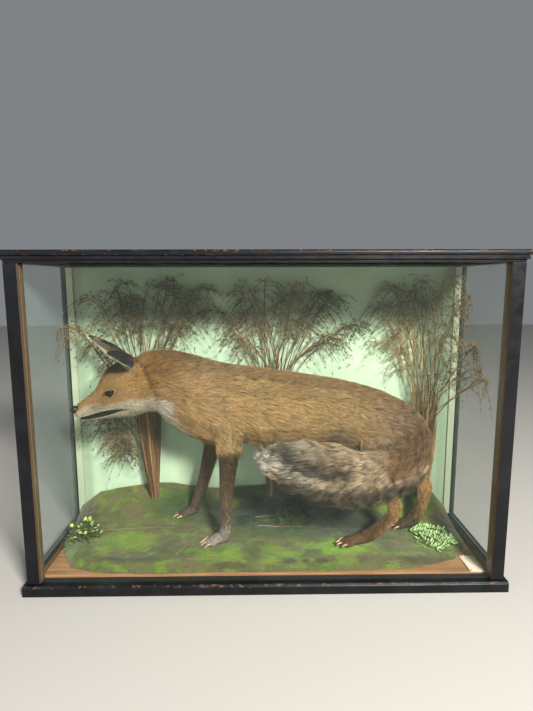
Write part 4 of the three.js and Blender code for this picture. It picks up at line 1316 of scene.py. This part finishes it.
def whiskers():
    """Stiff dark hairs in four rows on each side of the muzzle."""
    heap = Heap()
    for side in SIDES.values():
        for row in range(4):
            for k in range(4):
                a, c = 22 + 7 * k + 2 * row, -8 - 3.2 * row + k
                hit = skin.tree.find_nearest(from_head([a, side * 14.0, c]).tolist())
                root, n = np.array(hit[0]), np.array(hit[1])
                way = unit(n + HEAD_AXES[0] * 1.5 - UP * 0.25 + rng.normal(0, 0.12, 3))
                long = rng.uniform(16, 38) * MM
                t = np.linspace(0, 1, 8)[:, None]
                path = root + way * t * long + (HEAD_AXES[0] * 0.3 - UP * 0.25) * t ** 2 * long
                heap.tubes(path[None], np.linspace(0.2, 0.04, 8) * MM, tone("2c2622", 0.2, 1), 4)
    place(heap.mesh("whiskers"), painted_matter("whisker", 0.4, 0.002, 0.0001))


for side_name, side in SIDES.items():
    eye(side_name, side)
nose_pad()
claws()
whiskers()


# ------------------------------------------------------------------ groundwork
def top_of(node):
    """Gives the height of the node's upper face at a place, or None beside it."""
    tree = tree_of(*welded(node))

    def height(x, y):
        hit = tree.ray_cast(Vector((x, y, 1.0)), Vector((0, 0, -1)))
        return hit[0].z if hit[0] else None

    return height


# points along and across the sheet of moss, and how many fibres stand on it
GRID = ((430, 130))
FIBRES = 15000


def ground():
    """The moss as one closed sheet: CAD's form with soft lumps and rough flock on it."""
    height = top_of("groundwork")
    low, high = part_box("groundwork")
    nx, ny = GRID
    xs = np.linspace(low[0] + 0.0006, high[0] - 0.0006, nx)
    rows = []
    for x in xs:
        ys = np.linspace(low[1], high[1], 120)
        found = [y for y in ys if height(x, y) is not None]
        if not found:
            found = [high[1] - 0.02, high[1]]
        front, back = found[0] + 0.0003, found[-1] - 0.0003
        y = front + (back - front) * np.linspace(0, 1, ny) ** 1.15
        z = [height(x, v) or low[2] for v in y]
        rows.append(np.stack([np.full(ny, x), y, z], 1))
    grid = np.array(rows)
    rim = np.ones((nx, ny))
    rim[:4] *= np.linspace(0, 1, 4)[:, None]
    rim[-4:] *= np.linspace(1, 0, 4)[:, None]
    rim[:, :3] *= np.linspace(0, 1, 3)
    rim[:, -3:] *= np.linspace(1, 0.2, 3)
    flat = grid.reshape(-1, 3)
    rough = np.array([noise.fractal(Vector(p) * 55, 1.0, 2.1, 5) for p in flat.tolist()])
    pile = np.array([noise.noise(Vector(p) * 420) for p in flat.tolist()])
    grid[..., 2] += ((rough * 1.5 + pile * 0.5 - 0.6) * MM).reshape(nx, ny) * rim
    top = grid.reshape(-1, 3)
    under = top.copy()
    under[:, 2] = low[2]
    faces, edge = sheet_faces(nx, ny)
    me = new_mesh("moss", np.concatenate([top, under]), faces)
    drop = ~np.isin(np.arange(nx * ny), edge)
    colour = ground_colour(top)
    paint(me, np.concatenate([colour, colour * 0.4]))
    bm = bmesh.new()
    bm.from_mesh(me)
    bm.verts.ensure_lookup_table()
    bmesh.ops.delete(bm, geom=[bm.verts[i + nx * ny] for i in np.flatnonzero(drop)], context="VERTS")
    bm.edges.ensure_lookup_table()
    bmesh.ops.holes_fill(bm, edges=[e for e in bm.edges if e.is_boundary])
    bm.to_mesh(me)
    bm.free()
    return me, grid


# places on the groundwork: x, y, how far it reaches along and across, colour, strength
PATCHES = [(0.165, -0.045, 0.075, 0.026, "lime", 1.0), (0.135, -0.04, 0.035, 0.02, "lime", 0.9),
           (-0.30, -0.02, 0.07, 0.03, "lime", 0.55), (-0.10, -0.07, 0.06, 0.02, "lime", 0.5),
           (0.02, -0.06, 0.05, 0.03, "lime", 0.45),
           (0.355, -0.03, 0.05, 0.02, "lime", 0.5), (0.30, 0.08, 0.05, 0.05, "lime", 0.35),
           (-0.42, -0.05, 0.05, 0.02, "lime", 0.5), (-0.24, 0.015, 0.12, 0.012, "drab", 0.8),
           (-0.27, -0.075, 0.09, 0.01, "umber", 0.7), (-0.20, -0.05, 0.05, 0.02, "umber", 0.35),
           (0.045, -0.082, 0.018, 0.009, "umber", 0.95), (0.078, -0.084, 0.012, 0.007, "umber", 0.9),
           (0.112, -0.084, 0.016, 0.008, "umber", 0.9), (-0.07, -0.094, 0.04, 0.008, "umber", 0.8),
           (0.33, -0.075, 0.08, 0.012, "umber", 0.7), (0.22, -0.07, 0.05, 0.02, "drab", 0.5),
           (-0.41, 0.05, 0.03, 0.05, "umber", 0.9), (0.41, 0.06, 0.03, 0.04, "umber", 0.8),
           # dark green moss with a painted shadow of the fox, behind and under it
           (-0.19, 0.07, 0.07, 0.045, "deep", 0.9), (0.0, 0.06, 0.16, 0.06, "dark_green_and_fox_shadow", 0.95),
           (0.17, 0.04, 0.14, 0.05, "dark_green_and_fox_shadow", 0.85), (0.05, 0.0, 0.13, 0.02, "deep", 0.5),
           (-0.10, -0.03, 0.04, 0.03, "drab", 0.4), (0.28, -0.04, 0.05, 0.02, "drab", 0.4)]
MOSS_HUES = {name: srgb(code) for name, code in {
    "olive": "5e622f", "sage": "4f592a", "lime": "6f981a", "drab": "60573a", "umber": "443a28",
    "deep": "30491d", "dark_green_and_fox_shadow": "17241c", "rim": "6b5a34"}.items()}


def ground_colour(points):
    """Olive and sage moss with wisps and patches of other hues, among them a painted shadow of the fox on
    dark green behind and under it, browner along the back.
    """
    x, y, _ = points.T
    wisp = np.array([[noise.fractal(Vector((p[0] * 22, p[1] * 40, k * 9.0)), 1.0, 2.0, 4)
                      for k in range(3)] for p in points.tolist()])
    colour = mix(MOSS_HUES["olive"], MOSS_HUES["sage"], ease(wisp[:, 0], -0.3, 0.4))
    colour = mix(colour, MOSS_HUES["lime"], ease(wisp[:, 1], 0.0, 0.55) * 0.5)
    colour = mix(colour, MOSS_HUES["drab"], ease(wisp[:, 2], 0.05, 0.5) * 0.6)
    for px, py, wide, deep, hue, strength in PATCHES:
        d = np.hypot((x - px) / wide, (y - py) / deep) + wisp[:, 0] * 0.45
        colour = mix(colour, MOSS_HUES[hue], (1 - ease(d, 0.35, 1.25)) * strength)
    colour = colour * (1 + 0.25 * wisp[:, 2:3])
    return mix(colour, MOSS_HUES["rim"], ease(y, 0.104, 0.113) * 0.5)


def flock(grid):
    """Short fibres that stand on the moss."""
    heap = Heap()
    nx, ny = grid.shape[:2]
    many = FIBRES
    i, j = rng.uniform(2, nx - 3, many), rng.uniform(1, ny - 3, many)
    i0, j0 = i.astype(int), j.astype(int)
    u, v = (i - i0)[:, None], (j - j0)[:, None]
    near = grid[i0, j0] * (1 - u) + grid[i0 + 1, j0] * u
    far = grid[i0, j0 + 1] * (1 - u) + grid[i0 + 1, j0 + 1] * u
    foot = near * (1 - v) + far * v
    lean = unit(UP + rng.normal(0, 0.7, (many, 3)) * [1, 1, 0.2] + [0, -0.5, 0])
    long = rng.uniform(1.2, 3.4, many)[:, None] * MM
    foot = foot - UP * 0.4 * MM
    half = rng.uniform(0.25, 0.5, many)[:, None] * MM
    side = unit(np.cross(lean, rng.normal(0, 1, (many, 3))))
    other = np.cross(lean, side)
    ring = [foot + side * half, foot - side * half * 0.5 + other * half * 0.87,
            foot - side * half * 0.5 - other * half * 0.87, foot + lean * long]
    faces = repeated([[0, 2, 1], [0, 1, 3], [1, 2, 3], [2, 0, 3]], many, 4)
    tint = ground_colour(foot)[:, None] * np.array([0.75, 0.75, 0.75, 1.2])[None, :, None]
    tint = tint * rng.normal(1, 0.15, (many, 1, 1))
    heap.add(np.stack(ring, 1).reshape(-1, 3), faces, np.clip(tint.reshape(-1, 3), 0, 1))
    return heap.mesh("flock")


# place, length and bearing (degrees) of each twig
TWIGS = [(-0.30, 0.012, 0.20, 2), (-0.175, -0.055, 0.055, 70), (-0.12, -0.082, 0.09, -6),
         (0.03, 0.02, 0.10, 1), (0.0, 0.045, 0.05, 12), (0.20, -0.045, 0.03, -30),
         (-0.33, -0.055, 0.04, 15), (0.26, -0.085, 0.04, 8), (0.385, -0.045, 0.02, -50)]


def twigs(height):
    """Bits of root and stalk that lie on the moss."""
    heap = Heap()
    for x, y, long, turn in TWIGS:
        ahead = np.array([math.cos(math.radians(turn)), math.sin(math.radians(turn)) * 0.6])
        path = []
        for t in np.linspace(-0.5, 0.5, 12):
            p = np.array([x, y]) + ahead * t * long + rng.normal(0, 0.0012, 2)
            z = height(*p)
            path.append([*p, (z if z else 0.03) + rng.uniform(0.3, 1.2) * MM])
        heap.tubes(np.array(path)[None], np.linspace(1.1, 0.5, 12) * MM, tone("8b7a5c", 0.12, 1), 6)
    return heap.mesh("twigs")


ground_mesh, ground_grid = ground()
moss_fibre = painted_matter("moss", 0.95, 0.003, 0.0012, 0.35, 0.4)
place(ground_mesh, moss_fibre, ["groundwork"])
place(flock(ground_grid), painted_matter("flock", 0.95, 0.003, 0.0002, 0.3, 0.3))
moss_top = top_of("groundwork")
place(twigs(moss_top), painted_matter("twig", 0.85, 0.002, 0.0003))


# ------------------------------------------------------------------ small plants
def leaves(heap, at, ahead, across, long, wide, cup, tint, rows=6):
    """Domed leaflets, each a thin closed almond with a fold down its middle."""
    many = len(at)
    t = np.linspace(0, 1, rows)
    half = np.sin(np.clip(t, 0.02, 0.985) * math.pi) ** 0.75
    up = np.cross(across, ahead)
    up = up * np.sign(up[:, 2:3] + 1e-9)
    spine = at[:, None] + ahead[:, None] * (t * long[:, None])[..., None]
    spine = spine + up[:, None] * (np.sin(t * math.pi) * cup[:, None])[..., None]
    edge = across[:, None] * (half * wide[:, None] / 2)[..., None]
    drop = up[:, None] * (half * wide[:, None] * 0.13)[..., None]
    thick = up[:, None] * 0.35 * MM
    ring = np.stack([spine + edge - drop, spine, spine - edge - drop, spine - thick], 2)
    end = (rows - 1) * 4
    faces = [[0, 1, 3], [1, 2, 3]] + strips(rows, 4, 0, True)
    faces += [[end, end + 3, end + 1], [end + 1, end + 3, end + 2]]
    # paler along the midrib, darker on the underside
    midrib_and_underside = np.array([1.0, 1.18, 1.0, 0.6])
    tint = tint[:, None, None] * np.tile(midrib_and_underside, (rows, 1))[None, ..., None]
    heap.add(ring.reshape(-1, 3), repeated(faces, many, rows * 4), np.clip(tint.reshape(-1, 3), 0, 1))


def clump(heap, spot, reach, high, many, long, wide, hue, spread, flat):
    """A mound of leaflets on short stalks over the moss."""
    turn, out = rng.uniform(0, 2 * math.pi, many), np.sqrt(rng.random(many))
    x = spot[0] + np.cos(turn) * out * reach[0]
    y = spot[1] + np.sin(turn) * out * reach[1]
    base = np.array([moss_top(a, b) or 0.03 for a, b in zip(x, y)])
    rise = high * np.sqrt(np.clip(1 - out ** 2, 0, 1)) * rng.uniform(0.55, 1.0, many)
    at = np.stack([x, y, base + rise], 1)
    away = np.stack([np.cos(turn), np.sin(turn), rng.uniform(0.1, 0.9, many) * (1 - flat)], 1)
    ahead = unit(away + rng.normal(0, 0.35, (many, 3)) * [1, 1, 0.5])
    across = unit(np.cross(ahead, UP + rng.normal(0, 0.25, (many, 3))))
    size = rng.uniform(0.75, 1.2, many)
    leaves(heap, at, ahead, across, long * size, wide * size, 0.16 * long * size, tone(hue, spread, many))
    foot = np.stack([spot[0] + (x - spot[0]) * 0.6, spot[1] + (y - spot[1]) * 0.6, base - 2 * MM], 1)
    t = np.linspace(0, 1, 4)[None, :, None]
    heap.tubes(foot[:, None] + (at - foot)[:, None] * t, 0.45 * MM, tone("5f6a3c", 0.1, many))


def fronds(heap, spot, reach, hue):
    """Crisp ferny sprays: pairs of leaflets along curved ribs."""
    for row in range(6):
        start = np.array([spot[0] - reach[0] + 0.008 * row, spot[1] + reach[1] * (1 - row / 2.6), 0.0])
        count = 15 - row
        t = np.linspace(0, 1, count)
        x = start[0] + t * reach[0] * (1.9 - 0.14 * row)
        y = start[1] + 0.006 * np.sin(t * 3 + row) + 0.010 * t
        z = np.array([moss_top(a, b) or 0.04 for a, b in zip(x, y)]) + (5 + 3.5 * np.sin(t * 5 + row)) * MM
        rib = np.stack([x, y, z], 1)
        heap.tubes(rib[None], 0.6 * MM, srgb("7f9a5c"))
        for side in (1, -1):
            ahead = unit(np.array([0.55, side * 0.8, 0.35]) + rng.normal(0, 0.15, (count, 3)))
            across = unit(np.cross(ahead, UP))
            size = rng.uniform(0.8, 1.15, count)
            leaves(heap, rib, ahead, across, 11 * MM * size, 5.2 * MM * size, 1.6 * MM * size,
                   tone(hue, 0.14, count))


def box_spot(name):
    """The middle, the half size and the height of a node's box."""
    low, high = (np.array(v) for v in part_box(name))
    return (low + high) / 2, (high - low) / 2, high[2] - low[2]


# the mounds of leaflets on each node: share of its reach and of its height, how many leaflets, their length
# and width (mm), hue, spread of the hue, how flat they lie
MOUNDS = {
    "leaves_left": [(0.92, 0.62, 70, 9, 5, "4e6b30", 0.2, 0.0),
                    (0.8, 0.78, 26, 9.5, 9.5, "b3cf6e", 0.08, 0.0)],
    "leaves_middle": [(0.95, 0.75, 170, 8, 3.4, "44623a", 0.22, 0.0)],
    "leaves_right": [(0.9, 0.45, 60, 9, 4.5, "9fc07e", 0.12, 0.4)],
}


def plants():
    leaf = painted_matter("leaf", 0.5, 0.003, 0.0003, 0.0, 0.3)
    for node, mounds in MOUNDS.items():
        heap = Heap()
        spot, reach, high = box_spot(node)
        for across, up, many, long, wide, *look in mounds:
            clump(heap, spot, reach * across, high * up, many, long * MM, wide * MM, *look)
        if node == "leaves_right":
            fronds(heap, spot, reach, "aed08a")
        place(heap.mesh(node.replace("leaves", "leaflets")), leaf, [node])


plants()


# ------------------------------------------------------------------ reeds
# sheaf: foot, tie, heads of the plumes (mm), how many stems
SHEAVES = {
    "reeds_left": ([-256, 86, 60], [-268, 90, 300], [[-405, 60, 500], [-372, 84, 560], [-330, 100, 596],
                   [-296, 100, 560], [-262, 100, 590], [-228, 100, 604], [-190, 102, 560], [-150, 104, 585],
                   [-352, 70, 470], [-310, 60, 430], [-330, 74, 372], [-352, 66, 352], [-322, 70, 345],
                   [-306, 64, 362], [-205, 100, 500], [-172, 100, 520]], 30),
    "reeds_middle": ([12, 92, 64], [22, 94, 330], [[-88, 104, 530], [-50, 100, 580], [0, 100, 600],
                     [30, 102, 560], [70, 100, 596], [110, 100, 570], [150, 102, 560], [196, 104, 500],
                     [-20, 96, 500], [60, 96, 510], [120, 96, 480], [-60, 98, 470]], 26),
    "reeds_right": ([366, 86, 60], [364, 84, 280], [[268, 100, 540], [300, 104, 590], [335, 100, 600],
                    [366, 100, 560], [396, 90, 590], [424, 70, 545], [430, 20, 470], [432, -10, 420],
                    [432, -50, 400], [330, 96, 500], [402, 80, 480], [300, 100, 470], [390, 60, 400]], 32),
}
CASE_LOW, CASE_HIGH = np.array([-0.444, -0.118, 0.0]), np.array([0.444, 0.1135, 0.62])
STEM_COLOURS = {"reeds_left": ("5a3f26", "6f5232", "4b3420", "8a6c44"),
                "reeds_middle": ("5e4128", "705234", "4f3822", "86693f"),
                "reeds_right": ("7a6238", "93794a", "66502c", "a68c5a")}
PLUME_COLOURS = {"reeds_left": ("5c4a2c", "72603a", "4c3c24", "877048"),
                 "reeds_middle": ("63502f", "79653d", "524026", "8c764a"),
                 "reeds_right": ("76643c", "8e7a4a", "63522f", "a08c5c")}
# how full a plume is; how many leaves wrap a sheaf's foot, and spikelets sit on a branch
LUSH = 15
SHEATH_LEAVES, SPIKES = 22, 7


def inside_case(points):
    """Keeps the straw off the glass, the board and the lid."""
    return np.clip(points, CASE_LOW, CASE_HIGH)


def plume(heap, neck, head, lush, hues):
    """A drooping, branched seed head that starts at the neck and nods over at the head."""
    lean = head - neck
    sideways = np.array([np.sign(lean[0] + rng.normal(0, 0.02)) or 1.0, rng.normal(0, 0.15), 0])
    long = np.linalg.norm(lean)
    nod = head + sideways * 0.028 - UP * 0.012
    axis = inside_case(bend_path([neck, neck + lean * 0.55, head, nod], 14))
    hue = hues[rng.integers(4)]
    heap.tubes(axis[None], np.linspace(1.0, 0.35, 14) * MM, tone(hue, 0.1, 1), 4)
    branches = int(lush * (0.6 + long / 0.12) * (2.2 if head[2] < 0.4 else 1.0))
    for _ in range(branches):
        s = rng.uniform(0.25, 1.0)
        start = axis[int(s * 13)]
        turn = rng.uniform(-1, 1)
        out = unit(np.array([sideways[0] * rng.uniform(-0.5, 1.0), 0.35 * turn, rng.uniform(-0.2, 0.7)]))
        reach = rng.uniform(0.022, 0.055)
        t = np.linspace(0, 1, 6)[:, None]
        path = inside_case(start + out * t * reach - UP * t ** 2 * reach * rng.uniform(0.5, 1.2))
        heap.tubes(path[None], np.linspace(0.55, 0.2, 6) * MM, tone(hue, 0.15, 1), 3)
        at = path[rng.integers(2, 6, SPIKES)]
        way = unit(unit(path[-1] - path[0]) + rng.normal(0, 0.35, (SPIKES, 3)) - UP * 0.35)
        size = rng.uniform(5, 10, SPIKES)[:, None, None] * MM
        k = np.linspace(0, 1, 3)[None, :, None]
        spikes = inside_case(at[:, None] + way[:, None] * k * size)
        heap.tubes(spikes, np.array([0.25, 0.75, 0.1]) * MM, tone(hue, 0.25, SPIKES) * 1.1, 3)


def sheaf(name, foot, tie, heads, stems):
    """A bound sheaf: stems from its foot through the tie to the heads, and sheath leaves round its foot."""
    heap = Heap()
    foot, tie, heads = np.array(foot) * MM, np.array(tie) * MM, np.array(heads) * MM
    for i in range(stems):
        fan = i / (stems - 1) - 0.5
        head = heads[i % len(heads)] + rng.normal(0, 1, 3) * [0.012, 0.004, 0.014] * (i >= len(heads))
        head[1] = np.clip(head[1], -0.10, 0.108)
        head[2] = min(head[2], 0.612)
        spread = np.array([fan * 0.040, rng.normal(0, 0.004), rng.normal(0, 0.012)])
        low = foot + [fan * 0.012, rng.normal(0, 0.002), -0.004]
        neck = tie + spread + (head - tie) * [0.45, 0.5, 0.62]
        waist = (low + tie + spread) / 2 + [fan * 0.006, 0, 0]
        path = inside_case(bend_path([low, waist, tie + spread, neck, head], 18))
        hue = STEM_COLOURS[name][rng.integers(4)]
        heap.tubes(path[None], np.linspace(1.7, 0.6, 18) * MM, tone(hue, 0.1, 1), 5)
        if i < len(heads) * 2 and (i < len(heads) or head[2] > 0.4):
            plume(heap, path[12], head, LUSH, PLUME_COLOURS[name])
    # sheath leaves wrap the foot: flat straps that widen and part upwards
    for i in range(SHEATH_LEAVES):
        fan = i / (SHEATH_LEAVES - 1) - 0.5
        top = tie + [fan * 0.060, rng.uniform(-0.009, 0.004), rng.uniform(0.0, 0.12)]
        low = foot + [fan * 0.006, rng.uniform(-0.004, 0.001), -0.004]
        path = bend_path([low, low * 0.45 + top * 0.55 + [fan * 0.008, 0, 0], top], 14)
        width = np.interp(np.linspace(0, 1, 14), [0, 0.2, 0.75, 1], [1.3, 2.2, 2.9, 0.5]) * MM
        heap.tubes(path[None], width, tone(STEM_COLOURS[name][rng.integers(4)], 0.16, 1), 6, 0.4, [0, 1, 0])
    straw = painted_matter(name + "_straw", 0.7, 0.003, 0.0004, 0.0, 0.35)
    place(heap.mesh(name + "_dry"), straw, [name])


for sheaf_name, rows in SHEAVES.items():
    sheaf(sheaf_name, *rows)


def stray_straws():
    """A thin stalk under the fox's nose, and sprays that droop beside the left sheaf."""
    heap = Heap()
    stalk = bend_path([[-0.29, 0.07, 0.20], [-0.31, 0.06, 0.30], [-0.345, 0.03, 0.36]], 12)
    heap.tubes(stalk[None], np.linspace(1.0, 0.5, 12) * MM, tone("8a6a42", 0.1, 1), 4)
    bend = np.array([-0.285, 0.084, 0.345])
    for x, z in ((-0.362, 0.300), (-0.352, 0.262), (-0.342, 0.232), (-0.330, 0.212),
                 (-0.316, 0.205), (-0.304, 0.232), (-0.346, 0.285), (-0.326, 0.250)):
        top = np.array([x * 0.45 - 0.165, 0.082, 0.352])
        arch = bend_path([bend, top, [x * 0.8 - 0.062, 0.08, z + 0.055]], 10)
        heap.tubes(arch[None], np.linspace(0.9, 0.6, 10) * MM, tone("6f5232", 0.1, 1), 4)
        plume(heap, arch[-1], np.array([x, 0.08, z]), LUSH, PLUME_COLOURS["reeds_left"])
    place(heap.mesh("stray_straws"), painted_matter("straw", 0.7, 0.003, 0.0003))


stray_straws()


# ------------------------------------------------------------------ card
def card():
    """The bare label card, a little curled and pinned at its corners."""
    low, high = (np.array(v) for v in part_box("label_card"))
    rows, columns = 20, 36
    u, v = np.meshgrid(np.linspace(0, 1, rows), np.linspace(0, 1, columns), indexing="ij")
    curl = 1.3 * MM * (np.abs(u - 0.5) * 2) ** 3 * (0.5 + 0.5 * np.sin(v * 5))
    curl = curl + 1.6 * MM * (v > 0.9) * (v - 0.9) * 10 * (u < 0.4)
    inset = 1 * MM
    x = low[0] + inset + u * (high[0] - low[0] - 2 * inset)
    y = low[1] + inset + v * (high[1] - low[1] - 2 * inset)
    top = np.stack([x, y, low[2] + 0.9 * MM + curl], 2).reshape(-1, 3)
    under = top - UP * 0.7 * MM
    faces, _ = sheet_faces(rows, columns)
    me = new_mesh("card", np.concatenate([top, under]), faces)
    place(me, card_stock(), ["label_card"])
    heap = Heap()
    for py in (0.07, 0.93):
        for px in (0.12, 0.88):
            foot = low + [px * (high[0] - low[0]), py * (high[1] - low[1]), 0.6 * MM]
            path = foot + UP * np.array([0, 1.2, 1.9, 2.2])[:, None] * MM
            heap.tubes(path[None], np.array([1.3, 1.5, 1.1, 0.3]) * MM, srgb("3a2c22"), 12)
    place(heap.mesh("card_pins"), painted_matter("pin", 0.45, 0.002, 0.0001))


card()


# ------------------------------------------------------------------ light, floor and camera
LAMPS_AIM = Vector((0, 0, 0.3))


def lamp(name, place_at, size, power, colour):
    """A rectangular light turned to the middle of the case."""
    data = bpy.data.lights.new(name, "AREA")
    data.shape, data.size, data.size_y = "RECTANGLE", *size
    data.energy, data.color = power, colour
    obj = linked(name, data)
    obj.location = place_at
    obj.rotation_euler = (LAMPS_AIM - Vector(place_at)).to_track_quat("-Z", "Y").to_euler()


lamp("key", (1.08, -2.34, 1.83), (0.6, 0.45), 185, (1.0, 0.97, 0.92))
lamp("fill", (-1.9, -1.7, 1.3), (1.6, 1.6), 12, (1.0, 0.98, 0.95))

world = bpy.data.worlds.new("studio")
world.use_nodes = True
background = world.node_tree.nodes["Background"]
background.inputs["Color"].default_value = (0.80, 0.84, 0.88, 1)
background.inputs["Strength"].default_value = 0.27
bpy.context.scene.world = world

FLOOR = np.array([[-6, -4, 0], [6, -4, 0], [6, 6, 0], [-6, 6, 0]], float)
floor = linked("floor", new_mesh("floor", FLOOR, [[0, 1, 2, 3]]))
floor.data.materials.append(Shader("floor", 0.8).colour(srgb("bdbab4")).material)

CAMERA_AT = Vector((-0.0126, -0.9999, 0.5884))
PITCH, YAW, ROLL = math.radians(8.34), math.radians(0.82), math.radians(-0.11)
lens = bpy.data.cameras.new("camera")
lens.lens, lens.sensor_width, lens.clip_start = 24.83, 36, 0.05
camera = linked("camera", lens)
camera.location = CAMERA_AT
ahead = Vector((math.sin(YAW) * math.cos(PITCH), math.cos(YAW) * math.cos(PITCH), -math.sin(PITCH)))
aim = ahead.to_track_quat("-Z", "Y") @ Matrix.Rotation(ROLL, 3, "Z").to_quaternion()
camera.rotation_euler = aim.to_euler()
bpy.context.scene.camera = camera
bpy.context.scene.view_settings.view_transform = "Standard"
